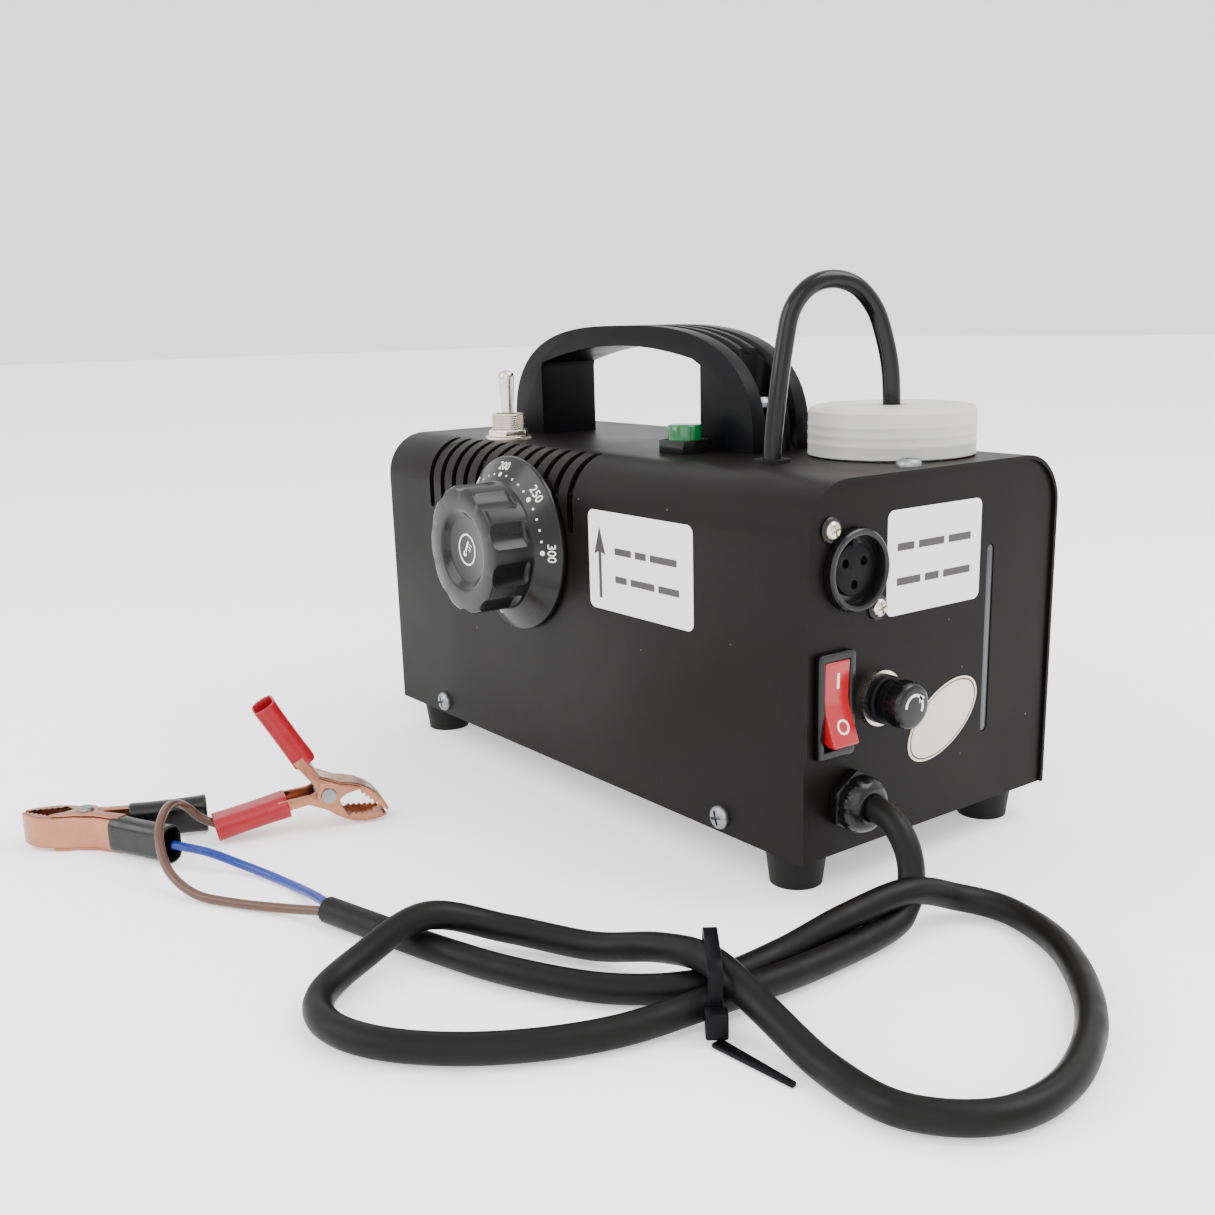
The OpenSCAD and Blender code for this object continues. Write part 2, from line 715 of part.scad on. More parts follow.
// A strip of metal from p to q, centred on its thickness and width
module strip(p, q, w) {
    d = q - p;
    translate([p.x, p.y, -w / 2]) rotate([0, 0, atan2(d.y, d.x)]) translate([0, -web / 2, 0])
        cube([norm(d), web, w]);
    translate([q.x, q.y, -w / 2]) cylinder(h = w, r = web / 2, $fn = 24);
}

module jaw_arc(w) {
    p = [hub[2], hub[0]];
    q = [jaw_l, web / 2 + 0.15];
    r = 16;
    mid = (p + q) / 2;
    d = q - p;
    drop = sqrt(r * r - d * d / 4);
    c = mid - drop * [-d.y, d.x] / norm(d);
    a0 = atan2(q.y - c.y, q.x - c.x);
    a1 = atan2(p.y - c.y, p.x - c.x);
    translate([c.x, c.y, -w / 2]) rotate([0, 0, a0]) rotate_extrude(angle = a1 - a0, $fn = 96)
        translate([r - web / 2, 0]) square([web, w]);
}

// One half: handle strip, hub strip, jaw arc and two cheeks with the rivet's bore
module jaw_half(lean, cheek_in, bore) {
    w = 2 * (cheek_in + 0.8);
    tail = arm_l * [-cos(lean), sin(lean)];
    back = [-hub[1], hub[0]];
    front = [hub[2], hub[0]];
    difference() {
        union() {
            strip(tail, back, arm_w);
            strip(front, back, w);
            translate([front.x, front.y, -w / 2]) cylinder(h = w, r = web / 2, $fn = 24);
            jaw_arc(arm_w);
            for (z = [cheek_in, -cheek_in - 0.8]) translate([0, 0, z]) linear_extrude(0.8) {
                circle(3.9);
                translate([-3.6, 0]) square([5.6, hub[0]]);
            }
        }
        translate([0, 0, -20]) cylinder(h = 40, r = bore);
    }
}

module sleeve(lean) {
    rotate([0, 0, 180 - lean]) translate([sleeve_from, 0, 0]) rotate([0, 90, 0])
        linear_extrude(tail_l - sleeve_from) difference() {
            rounded(sleeve_w, sleeve_t, 3);
            rounded(arm_w + 0.4, sleeve_t - 1.5, 1.2);
        }
}

module rivet() {
    for (z = [-1, 1]) translate([0, 0, z > 0 ? 6.25 : -7.15]) cylinder(h = 0.9, r = 2.6);
    translate([0, 0, -6.25]) cylinder(h = 12.5, r = 1.5);
}

module coil_spring() {
    for (z = [-3.2 : 1.1 : 2.4]) translate([0, 0, z]) difference() {
        cylinder(h = 1, r = 3.3);
        translate([0, 0, -1]) cylinder(h = 3, r = 2.3);
    }
    translate([0, 0, -3.2]) difference() {
        cylinder(h = 6.6, r = 2.4);
        translate([0, 0, -1]) cylinder(h = 9, r = 1.5);
    }
}

module at_red() {
    translate(red_at) rotate([0, 0, red_turn]) rotate([90, 0, 0]) rotate([0, 0, -red_dip]) children();
}

module at_black() {
    translate(black_at) rotate([0, 0, black_turn]) children();
}

module red_lower_jaw() { color("#b4785a") at_red() mirror([0, 1, 0]) jaw_half(red_lean, 4.5, 1.5); }
module red_upper_jaw() { color("#b4785a") at_red() jaw_half(red_lean, 5.4, 1.55); }
module red_lower_sleeve() { color("#b8212b") at_red() mirror([0, 1, 0]) sleeve(red_lean); }
module red_upper_sleeve() { color("#b8212b") at_red() sleeve(red_lean); }
module red_rivet() { color("#c9c9c9") at_red() rivet(); }
module red_spring() { color("#bcbcbc") at_red() coil_spring(); }

module black_front_jaw() { color("#b4785a") at_black() jaw_half(black_lean, 5.4, 1.55); }
module black_rear_jaw() { color("#b4785a") at_black() mirror([0, 1, 0]) jaw_half(black_lean, 4.5, 1.5); }
module black_front_sleeve() { color("#161616") at_black() sleeve(black_lean); }
module black_rear_sleeve() { color("#161616") at_black() mirror([0, 1, 0]) sleeve(black_lean); }
module black_rivet() { color("#c9c9c9") at_black() rivet(); }
module black_spring() { color("#bcbcbc") at_black() coil_spring(); }

top_cover();
base_pan();
front_plate();
rear_plate();
cover_screws();
feet();
handle();
handle_screws();
toggle_body();
toggle_nut();
toggle_lever();
lamp_bezel();
lamp_lens();
thermostat_body();
dial_shaft();
dial_knob();
thermostat_bulb();
rocker_frame();
rocker();
fuse_holder();
fuse_ring();
fuse_cap();
fuse_tube();
xlr_shell();
xlr_insert();
xlr_screws();
cable_gland();
tank();
tank_cap();
cap_seal();
dip_tube();
hose_grommet();
feed_hose();
inlet_hose();
pump();
outlet_pipe();
heater_block();
heater_element();
heater_bracket();
nozzle();
relay_board();
side_label();
rear_label();
check_sticker();
power_cable();
cable_tie();
blue_wire();
brown_wire();
red_lower_jaw();
red_lower_sleeve();
red_upper_jaw();
red_upper_sleeve();
red_rivet();
red_spring();
black_front_jaw();
black_front_sleeve();
black_rear_jaw();
black_rear_sleeve();
black_rivet();
black_spring();
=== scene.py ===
# Compact fog machine with its battery lead: materials, detailed pieces, light and camera.
import math
import bpy
from mathutils import Matrix, Vector


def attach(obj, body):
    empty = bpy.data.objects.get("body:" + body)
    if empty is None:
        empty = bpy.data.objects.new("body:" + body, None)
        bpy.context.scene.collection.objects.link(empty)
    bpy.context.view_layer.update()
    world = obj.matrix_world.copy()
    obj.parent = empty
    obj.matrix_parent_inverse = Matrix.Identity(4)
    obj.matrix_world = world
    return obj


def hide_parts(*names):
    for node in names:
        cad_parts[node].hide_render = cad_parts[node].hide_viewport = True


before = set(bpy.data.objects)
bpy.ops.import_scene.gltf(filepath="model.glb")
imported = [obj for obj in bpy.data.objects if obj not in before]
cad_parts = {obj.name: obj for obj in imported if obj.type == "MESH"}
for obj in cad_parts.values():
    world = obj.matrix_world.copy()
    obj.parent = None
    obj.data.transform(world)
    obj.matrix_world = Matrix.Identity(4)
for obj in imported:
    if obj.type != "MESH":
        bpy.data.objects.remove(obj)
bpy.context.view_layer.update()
print("frame loaded:", len(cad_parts), "nodes")

mm = 0.001
up = Vector((0, 0, 1))


# Camera, floor and light.

cameraSettings = {"place": (0.3008, 0.3666, 0.1630), "azimuth": 52.69, "elevation": 13.91, "roll": -1.26,
                  "lens": 39.3, "shiftX": -0.0255, "shiftY": 0.0320}
floorSettings = {"size": 14.0, "colour": "FAFAFA", "glow": 0.5, "skyStrength": 1.8}
lightSettings = {
    "key": {"place": (-0.55, 0.55, 1.25), "size": 0.9, "power": 17.0},
    "fill": {"place": (0.95, 0.95, 0.75), "size": 1.3, "power": 10.0},
    "side": {"place": (1.15, -0.45, 0.75), "size": 0.9, "power": 11.0},
}


def addCamera(settings):
    azimuth = math.radians(settings["azimuth"])
    elevation = math.radians(settings["elevation"])
    back = Vector((math.cos(elevation) * math.cos(azimuth), math.cos(elevation) * math.sin(azimuth),
                   math.sin(elevation)))  # from the object to the camera
    level = (-back).cross(up).normalized()
    turn = Matrix((level, back.cross(level), back)).transposed().to_4x4()
    tilt = Matrix.Rotation(math.radians(settings["roll"]), 4, "Z")
    bpy.ops.object.camera_add()
    camera = bpy.context.object
    camera.matrix_world = Matrix.Translation(settings["place"]) @ turn @ tilt
    camera.data.lens = settings["lens"]
    camera.data.sensor_width = 36
    camera.data.shift_x = settings["shiftX"]
    camera.data.shift_y = settings["shiftY"]
    bpy.context.scene.camera = camera


def addLight(name, settings):
    bpy.ops.object.light_add(type="AREA", location=settings["place"])
    light = bpy.context.object
    light.name = name
    light.data.energy = settings["power"]
    light.data.size = settings["size"]
    light.rotation_euler = (Vector((0, 0, 0.06)) - light.location).to_track_quat("-Z", "Y").to_euler()


# Making materials.

def toLinear(code):  # sRGB hex to the linear values that a socket takes
    values = [int(code[i:i + 2], 16) / 255 for i in (0, 2, 4)]
    return [v / 12.92 if v <= 0.04045 else ((v + 0.055) / 1.055) ** 2.4 for v in values] + [1.0]


def addNode(tree, kind, settings=None, links=None):
    node = tree.nodes.new("ShaderNode" + kind)
    for key, value in (settings or {}).items():
        if hasattr(node, key):
            setattr(node, key, value)
        else:
            node.inputs[key].default_value = value
    for key, socket in (links or {}).items():
        tree.links.new(socket, node.inputs[key])
    return node


def startMaterial(name, colour, roughness, metallic=0.0, ior=1.5, extra=None):
    material = bpy.data.materials.new(name)
    material.use_nodes = True
    tree = material.node_tree
    shader = tree.nodes["Principled BSDF"]
    shader.inputs["Base Color"].default_value = toLinear(colour)
    shader.inputs["Roughness"].default_value = roughness
    shader.inputs["Metallic"].default_value = metallic
    if not metallic:
        shader.inputs["IOR"].default_value = ior
    for key, value in (extra or {}).items():
        shader.inputs[key].default_value = value
    place = addNode(tree, "TexCoord").outputs["Object"]
    return material, tree, shader, place


def varyColour(tree, shader, place, low, high, size):  # size is the pattern's real width in metres
    noise = addNode(tree, "TexNoise", {"Scale": 1 / size, "Detail": 4.0, "Roughness": 0.6}, {"Vector": place})
    mix = addNode(tree, "Mix", {"data_type": "RGBA"}, {})
    mix.inputs[6].default_value = toLinear(low)
    mix.inputs[7].default_value = toLinear(high)
    tree.links.new(noise.outputs["Fac"], mix.inputs[0])
    tree.links.new(mix.outputs[2], shader.inputs["Base Color"])
    return mix


def varyRoughness(tree, shader, place, low, high, size):
    noise = addNode(tree, "TexNoise", {"Scale": 1 / size, "Detail": 3.0}, {"Vector": place})
    span = addNode(tree, "MapRange", {"From Min": 0.3, "From Max": 0.7, "To Min": low, "To Max": high},
                   {"Value": noise.outputs["Fac"]})
    tree.links.new(span.outputs["Result"], shader.inputs["Roughness"])


def addBump(tree, shader, height, strength, depth):
    bump = addNode(tree, "Bump", {"Strength": strength, "Distance": depth}, {"Height": height})
    tree.links.new(bump.outputs["Normal"], shader.inputs["Normal"])


def grain(tree, place, size, detail=2.0):
    return addNode(tree, "TexNoise", {"Scale": 1 / size, "Detail": detail}, {"Vector": place}).outputs["Fac"]


# The materials.

def makePowderCoat():  # satin powder coat on steel: warm black, fine orange peel, a few dust specks
    material, tree, shader, place = startMaterial("powderCoat", "0D0B0A", 0.42, 0, 1.5, {"Specular IOR Level": 0.10})
    mix = varyColour(tree, shader, place, "090707", "0F0C0B", 0.030)
    dust = addNode(tree, "TexVoronoi", {"Scale": 1 / 0.011}, {"Vector": place}).outputs["Distance"]
    speck = addNode(tree, "MapRange", {"From Min": 0.022, "From Max": 0.036, "To Min": 0.35, "To Max": 0.0},
                    {"Value": dust})
    over = addNode(tree, "Mix", {"data_type": "RGBA"}, {})
    over.inputs[7].default_value = toLinear("8A857F")
    tree.links.new(speck.outputs["Result"], over.inputs[0])
    tree.links.new(mix.outputs[2], over.inputs[6])
    tree.links.new(over.outputs[2], shader.inputs["Base Color"])
    varyRoughness(tree, shader, place, 0.36, 0.47, 0.045)
    addBump(tree, shader, grain(tree, place, 0.0009), 0.22, 0.00012)  # 0.9 mm orange peel
    return material


def makeMouldedNylon():  # glass-filled nylon from a spark-eroded mould: semi-matt, finely textured
    material, tree, shader, place = startMaterial("mouldedNylon", "08080A", 0.40, 0, 1.52, {"Specular IOR Level": 0.08})
    varyColour(tree, shader, place, "060608", "0B0B0D", 0.022)
    varyRoughness(tree, shader, place, 0.33, 0.46, 0.016)
    addBump(tree, shader, grain(tree, place, 0.0007, 3.0), 0.3, 0.00008)  # mould grain drawn at 0.7 mm
    return material


def makeGlossAbs():  # ABS from a polished mould: deep gloss, faint handling haze
    material, tree, shader, place = startMaterial("glossAbs", "0B0B0C", 0.26, 0, 1.54,
                                                  {"Specular IOR Level": 0.22, "Coat Weight": 0.08,
                                                   "Coat Roughness": 0.12})
    varyColour(tree, shader, place, "09090A", "0F0F10", 0.018)
    varyRoughness(tree, shader, place, 0.17, 0.30, 0.012)
    addBump(tree, shader, grain(tree, place, 0.004), 0.06, 0.0001)  # slight sink marks
    return material


def makeCableRubber():  # extruded rubber sheath: soft satin black with a dusty bloom
    material, tree, shader, place = startMaterial("cableRubber", "0E0D0C", 0.46, 0, 1.52,
                                                  {"Specular IOR Level": 0.15})
    varyColour(tree, shader, place, "070606", "0C0B0A", 0.014)
    varyRoughness(tree, shader, place, 0.38, 0.56, 0.009)
    addBump(tree, shader, grain(tree, place, 0.0008, 3.0), 0.25, 0.00009)
    return material


def makeHosePolyurethane():  # extruded polyurethane hose: glossy black, long soft highlights
    material, tree, shader, place = startMaterial("hosePolyurethane", "0A0A0B", 0.24, 0, 1.5,
                                                  {"Specular IOR Level": 0.2, "Coat Weight": 0.1,
                                                   "Coat Roughness": 0.1})
    varyColour(tree, shader, place, "060607", "0C0C0D", 0.02)
    varyRoughness(tree, shader, place, 0.13, 0.24, 0.01)
    addBump(tree, shader, grain(tree, place, 0.003), 0.1, 0.0001)
    return material


def makeFootRubber():  # moulded rubber, matt with scuffed edges
    material, tree, shader, place = startMaterial("footRubber", "0C0C0C", 0.6, 0, 1.52, {"Specular IOR Level": 0.18})
    varyColour(tree, shader, place, "090909", "110F0E", 0.006)
    addBump(tree, shader, grain(tree, place, 0.0008, 3.0), 0.35, 0.0001)
    return material


def makeNickelPlate():  # bright nickel on turned brass: warm silver with fine tool lines
    material, tree, shader, place = startMaterial("nickelPlate", "CFC8BC", 0.24, 1)
    varyColour(tree, shader, place, "C4BCB0", "D4CDC2", 0.004)
    varyRoughness(tree, shader, place, 0.20, 0.30, 0.004)
    lines = addNode(tree, "TexWave", {"bands_direction": "Z", "Scale": 420.0, "Distortion": 0.6}, {"Vector": place})
    addBump(tree, shader, lines.outputs["Fac"], 0.04, 0.00002)  # turning marks about 0.4 mm apart
    return material


def makeZincSteel():  # zinc-plated steel sheet: grey, faintly mottled
    material, tree, shader, place = startMaterial("zincSteel", "8B8C8F", 0.34, 1)
    varyColour(tree, shader, place, "7F8083", "97999C", 0.004)
    varyRoughness(tree, shader, place, 0.28, 0.46, 0.005)
    addBump(tree, shader, grain(tree, place, 0.0006), 0.1, 0.00004)
    return material


def makeCopperPlate():  # copper-plated spring steel, stamped: pink-orange, cloudy with handling
    material, tree, shader, place = startMaterial("copperPlate", "A8735A", 0.30, 1)
    varyColour(tree, shader, place, "9A684F", "B27C63", 0.010)
    varyRoughness(tree, shader, place, 0.20, 0.40, 0.003)
    addBump(tree, shader, grain(tree, place, 0.0009), 0.12, 0.00005)
    return material


def makeTurnedBrass():  # free-cutting brass: yellow, with tool lines
    material, tree, shader, place = startMaterial("turnedBrass", "C9A35A", 0.30, 1)
    varyColour(tree, shader, place, "B08A45", "D4B26C", 0.004)
    lines = addNode(tree, "TexWave", {"bands_direction": "Y", "Scale": 380.0}, {"Vector": place})
    addBump(tree, shader, lines.outputs["Fac"], 0.1, 0.00004)
    return material


def makeCastAluminium():  # sand-cast aluminium: dull grey, grainy
    material, tree, shader, place = startMaterial("castAluminium", "A7A8AA", 0.5, 1)
    varyColour(tree, shader, place, "8F9092", "B4B5B7", 0.006)
    addBump(tree, shader, grain(tree, place, 0.0012, 4.0), 0.4, 0.00015)
    return material


def makeMilkyPolyethylene():  # blow-moulded polyethylene: milky, light goes in and softens
    material, tree, shader, place = startMaterial(
        "milkyPolyethylene", "ECEBE7", 0.36, 0, 1.5,
        {"Subsurface Weight": 0.35, "Subsurface Scale": 0.006, "Transmission Weight": 0.18})
    varyColour(tree, shader, place, "C2C0BC", "CECCC8", 0.012)
    varyRoughness(tree, shader, place, 0.30, 0.46, 0.006)
    addBump(tree, shader, grain(tree, place, 0.0016), 0.12, 0.0001)
    return material


def makeGreenAcrylic():  # clear green acrylic: glossy, with a faint painted glow standing in for light that comes through
    material, tree, shader, place = startMaterial(
        "greenAcrylic", "0A9C52", 0.08, 0, 1.49,
        {"Transmission Weight": 0.15, "Emission Color": toLinear("0A9A50"), "Emission Strength": 0.05})
    varyColour(tree, shader, place, "024A22", "056A34", 0.004)
    return material


def makeClearAcrylic():  # clear glossy top of the lamp
    material, tree, shader, place = startMaterial("clearAcrylic", "D5E6DC", 0.06, 0, 1.49,
                                                  {"Transmission Weight": 0.6})
    varyRoughness(tree, shader, place, 0.04, 0.12, 0.002)
    return material


def makeRedAbs():  # gloss red ABS, even and bright
    material, tree, shader, place = startMaterial("redAbs", "C8141C", 0.2, 0, 1.54,
                                                  {"Subsurface Weight": 0.1, "Subsurface Scale": 0.001})
    varyColour(tree, shader, place, "920812", "A40E18", 0.008)
    varyRoughness(tree, shader, place, 0.16, 0.28, 0.005)
    return material


def makeWhiteInk():  # pad-printed white ink: flat, slightly uneven
    material, tree, shader, place = startMaterial("whiteInk", "E6E5E1", 0.5)
    varyColour(tree, shader, place, "D5D4D0", "EEEDEA", 0.0015)
    return material


def makeBlackInk():  # printed black ink on vinyl
    material, tree, shader, place = startMaterial("blackInk", "2A2627", 0.45)
    varyColour(tree, shader, place, "221F20", "332F30", 0.0015)
    return material


def makeLabelVinyl():  # satin white vinyl label: cool light grey, nearly flat
    material, tree, shader, place = startMaterial("labelVinyl", "E0DDE0", 0.42, 0, 1.46)
    varyColour(tree, shader, place, "DAD7DA", "E6E3E6", 0.02)
    addBump(tree, shader, grain(tree, place, 0.006), 0.05, 0.00008)  # small bubbles under the vinyl
    return material


def makeStickerPaper():  # uncoated cream paper
    material, tree, shader, place = startMaterial("stickerPaper", "D6CABB", 0.7, 0, 1.45)
    varyColour(tree, shader, place, "CDBFAF", "DED3C6", 0.003)
    addBump(tree, shader, grain(tree, place, 0.0007, 3.0), 0.2, 0.00005)  # paper fibres
    return material


def makePvc(name, colour, low, high):  # dip-moulded or extruded soft PVC: glossy, slightly wavy
    material, tree, shader, place = startMaterial(name, colour, 0.26, 0, 1.53,
                                                  {"Specular IOR Level": 0.3})
    varyColour(tree, shader, place, low, high, 0.007)
    varyRoughness(tree, shader, place, 0.20, 0.38, 0.004)
    addBump(tree, shader, grain(tree, place, 0.0022), 0.16, 0.00012)
    return material


def makeGlassEpoxy():  # circuit board with solder resist: green, woven glass beneath
    material, tree, shader, place = startMaterial("glassEpoxy", "1D5A34", 0.35)
    checks = addNode(tree, "TexChecker", {"Scale": 1 / 0.0012}, {"Vector": place})
    checks.inputs["Color1"].default_value = toLinear("1B5431")
    checks.inputs["Color2"].default_value = toLinear("22653B")
    tree.links.new(checks.outputs["Color"], shader.inputs["Base Color"])
    return material


def makeFuseGlass():
    material, tree, shader, place = startMaterial("fuseGlass", "E6EDEA", 0.05, 0, 1.52,
                                                  {"Transmission Weight": 0.85})
    varyRoughness(tree, shader, place, 0.03, 0.09, 0.002)
    return material


def makeWindowPlastic():  # clear strip behind the level slot, dark with the case behind it
    material, tree, shader, place = startMaterial("windowPlastic", "3A3B3E", 0.14, 0, 1.49)
    varyColour(tree, shader, place, "333437", "47484C", 0.01)
    return material


finishes = {
    "powderCoat": makePowderCoat(), "nylon": makeMouldedNylon(), "glossAbs": makeGlossAbs(),
    "cableRubber": makeCableRubber(), "hose": makeHosePolyurethane(), "footRubber": makeFootRubber(),
    "nickel": makeNickelPlate(), "zinc": makeZincSteel(), "copper": makeCopperPlate(),
    "brass": makeTurnedBrass(), "aluminium": makeCastAluminium(), "milky": makeMilkyPolyethylene(),
    "green": makeGreenAcrylic(), "clear": makeClearAcrylic(), "redAbs": makeRedAbs(),
    "whiteInk": makeWhiteInk(), "blackInk": makeBlackInk(), "label": makeLabelVinyl(),
    "paper": makeStickerPaper(), "board": makeGlassEpoxy(), "fuseGlass": makeFuseGlass(),
    "window": makeWindowPlastic(),
    "redPvc": makePvc("redPvc", "8E101B", "820C17", "981722"),
    "blackPvc": makePvc("blackPvc", "080809", "060607", "0C0C0D"),
    "bluePvc": makePvc("bluePvc", "0F2878", "0C226C", "143084"),
    "brownPvc": makePvc("brownPvc", "4A3326", "412B1F", "54392B"),
}
print("materials made:", len(finishes))


# Modelling helpers.

def deselectAll():
    if bpy.context.object and bpy.context.object.mode == "EDIT":
        bpy.ops.object.mode_set(mode="OBJECT")
    bpy.ops.object.select_all(action="DESELECT")


def editMode(selectBy="VERT"):
    bpy.ops.object.mode_set(mode="EDIT")
    bpy.ops.mesh.select_mode(type=selectBy)


def objectMode():
    bpy.ops.object.mode_set(mode="OBJECT")


def pickFaces(obj, test):  # select the faces whose centre and normal pass the test
    objectMode()
    editMode("FACE")
    bpy.ops.mesh.select_all(action="DESELECT")
    objectMode()
    place = obj.matrix_world
    for face in obj.data.polygons:
        face.select = bool(test(place @ face.center, face.normal))
    editMode("FACE")


def applyModifier(obj, kind, **settings):
    bpy.context.view_layer.objects.active = obj
    modifier = obj.modifiers.new(kind.title(), kind)
    for key, value in settings.items():
        setattr(modifier, key, value)
    bpy.ops.object.modifier_apply(modifier=modifier.name)


def softenEdges(obj, width, segments=2, angle=35):
    applyModifier(obj, "BEVEL", width=width, segments=segments, limit_method="ANGLE",
                  angle_limit=math.radians(angle), harden_normals=False)


def smoothShade(obj, angle=35):
    deselectAll()
    obj.select_set(True)
    bpy.context.view_layer.objects.active = obj
    bpy.ops.object.shade_smooth_by_angle(angle=math.radians(angle))


def settle(obj):  # put the piece's place, turn and size into its mesh
    deselectAll()
    obj.select_set(True)
    bpy.context.view_layer.objects.active = obj
    bpy.ops.object.transform_apply(location=True, rotation=True, scale=True)


def tidyMesh():  # close the active piece's seams and turn its faces outwards
    editMode()
    bpy.ops.mesh.select_all(action="SELECT")
    bpy.ops.mesh.remove_doubles(threshold=0.00001)
    bpy.ops.mesh.normals_make_consistent(inside=False)
    objectMode()


def finishPiece(obj, name, finish, body="case", replaced=(), angle=35):
    settle(obj)
    smoothShade(obj, angle)
    obj.name = name
    obj.data.name = name
    obj.data.materials.clear()
    obj.data.materials.append(finishes[finish])
    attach(obj, body)
    if replaced:
        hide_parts(*replaced)
    return obj


def joinPieces(pieces):
    deselectAll()
    for piece in pieces:
        piece.select_set(True)
    bpy.context.view_layer.objects.active = pieces[0]
    bpy.ops.object.join()
    return pieces[0]


def copyPiece(obj):  # a copy with its own mesh
    twin = obj.copy()
    twin.data = obj.data.copy()
    bpy.context.collection.objects.link(twin)
    return twin


def turned(profile, centre, axis, sides=64):  # profile: (radius, height) steps in mm along the axis
    axis = Vector(axis).normalized()
    across = axis.orthogonal().normalized()
    points = [Vector(centre) + across * r * mm + axis * h * mm for r, h in profile]
    deselectAll()
    bpy.ops.mesh.primitive_plane_add(size=mm, location=points[0])
    obj = bpy.context.object
    editMode()
    bpy.ops.mesh.merge(type="CENTER")
    for before, after in zip(points, points[1:]):
        bpy.ops.mesh.extrude_region_move(TRANSFORM_OT_translate={"value": after - before})
    bpy.ops.mesh.select_all(action="SELECT")
    bpy.ops.mesh.spin(steps=sides, angle=2 * math.pi, center=centre, axis=axis)
    tidyMesh()
    settle(obj)
    return obj


def panel(centre, size, corner, facing, depth, segments=6):  # rounded rectangle with a thickness
    deselectAll()
    bpy.ops.mesh.primitive_plane_add(size=1, location=centre)
    obj = bpy.context.object
    obj.scale = (size[0], size[1], 1)
    bpy.ops.object.transform_apply(location=False, rotation=False, scale=True)
    editMode()
    bpy.ops.mesh.select_all(action="SELECT")
    bpy.ops.mesh.bevel(offset=corner, segments=segments, affect="VERTICES")
    bpy.ops.mesh.select_all(action="SELECT")
    bpy.ops.mesh.extrude_region_move(TRANSFORM_OT_translate={"value": (0, 0, depth)})
    objectMode()
    tidyMesh()
    obj.rotation_euler = facing
    settle(obj)
    return obj


def block(low, high):  # a box between two corners
    deselectAll()
    low, high = Vector(low), Vector(high)
    bpy.ops.mesh.primitive_cube_add(size=1, location=(low + high) / 2)
    obj = bpy.context.object
    obj.scale = high - low
    settle(obj)
    return obj


# A flat outline drawn point by point, filled, and pushed out into a solid.
def outlineSolid(points, push):
    deselectAll()
    bpy.ops.mesh.primitive_plane_add(size=mm, location=points[0])
    obj = bpy.context.object
    editMode()
    bpy.ops.mesh.merge(type="CENTER")
    for before, after in zip(points, points[1:]):
        bpy.ops.mesh.extrude_region_move(TRANSFORM_OT_translate={"value": after - before})
    bpy.ops.mesh.select_all(action="SELECT")
    bpy.ops.mesh.edge_face_add()
    bpy.ops.mesh.extrude_region_move(TRANSFORM_OT_translate={"value": push})
    objectMode()
    tidyMesh()
    settle(obj)
    return obj


def cutAway(obj, tool):
    applyModifier(obj, "BOOLEAN", operation="DIFFERENCE", object=tool, solver="EXACT")
    bpy.data.objects.remove(tool, do_unlink=True)


def makeCord(route, diameter, name, finish):  # a curve through the route's points, given in mm
    deselectAll()
    bpy.ops.curve.primitive_bezier_curve_add()
    obj = bpy.context.object
    spline = obj.data.splines[0]
    spline.bezier_points.add(len(route) - 2)
    points = [Vector(p) * mm for p in route]
    for i, point in enumerate(spline.bezier_points):
        slope = (points[min(i + 1, len(points) - 1)] - points[max(i - 1, 0)]) / 6
        point.handle_left_type = "FREE"
        point.handle_right_type = "FREE"
        point.co = points[i]
        point.handle_left = points[i] - slope
        point.handle_right = points[i] + slope
    obj.data.dimensions = "3D"
    obj.data.resolution_u = 10
    obj.data.bevel_depth = diameter / 2 * mm
    obj.data.bevel_resolution = 6
    obj.data.use_fill_caps = True
    obj.name = name
    obj.data.materials.append(finishes[finish])
    return obj


# Cords.

cableSettings = {
    "diameter": 7.6,
    "route": [
        (35.6, 118.4, 27.4), (35.6, 127, 27.4), (36.2, 134.5, 25.4), (37.4, 140.5, 20.2),
        (39.8, 144.4, 13.8), (45, 147.3, 8.2), (55, 149.4, 4.8), (86, 150.6, 4.4),
        (113, 149.9, 5.6), (140, 144, 4), (164, 133, 4), (182, 117, 4),
        (190, 100, 4), (186, 85, 4), (171, 77, 6.5), (152, 77, 12.2), (134, 88, 7),
        (121, 108, 5.5), (114, 128, 10.5), (112.6, 146, 13.3), (112.6, 164, 8.5),
        (114, 186, 4), (113, 207, 4), (98, 221, 4), (76, 221, 4), (50, 208, 4),
        (28, 185, 4), (20, 163, 4), (28, 150.5, 6.5), (45, 148, 12.2), (66, 145, 10),
        (88, 142.3, 5.4), (112, 141.9, 5.6), (129, 127, 4), (143, 104, 4), (152, 79, 4),
        (158, 58, 4), (163, 40, 4)],
}
hoseSettings = {
    "diameter": 5.6,
    "route": [
        (25, 73, 119), (24.4, 73, 128), (23, 73.5, 141), (21.3, 74, 153), (18.9, 74.7, 164),
        (13, 76, 170.8), (5, 78, 173), (-3, 80, 170.8), (-8.9, 81.8, 164.5), (-12.2, 83, 156),
        (-14.6, 83.8, 145), (-15.6, 83.8, 131)],
}
wireSettings = {
    "diameter": 2.8,
    "blue": [(161.6, 41, 4.2), (161.2, 27, 3), (161.8, 13, 1.6), (164.5, 0, 1.6), (169.5, -11, 3.2),
             (175.5, -20, 5.6), (182.2, -30.4, 6.4)],
    "brown": [(164.4, 41, 4.3), (171, 27, 2.2), (180, 13, 1.6), (187, 1, 2.2), (190, -12, 6),
              (188.6, -23, 12.6), (184, -32, 16.4), (178.6, -38.6, 16.9), (173.6, -42.6, 13.6),
              (169.2, -42.7, 8.6), (164.4, -40.6, 5.7)],
}


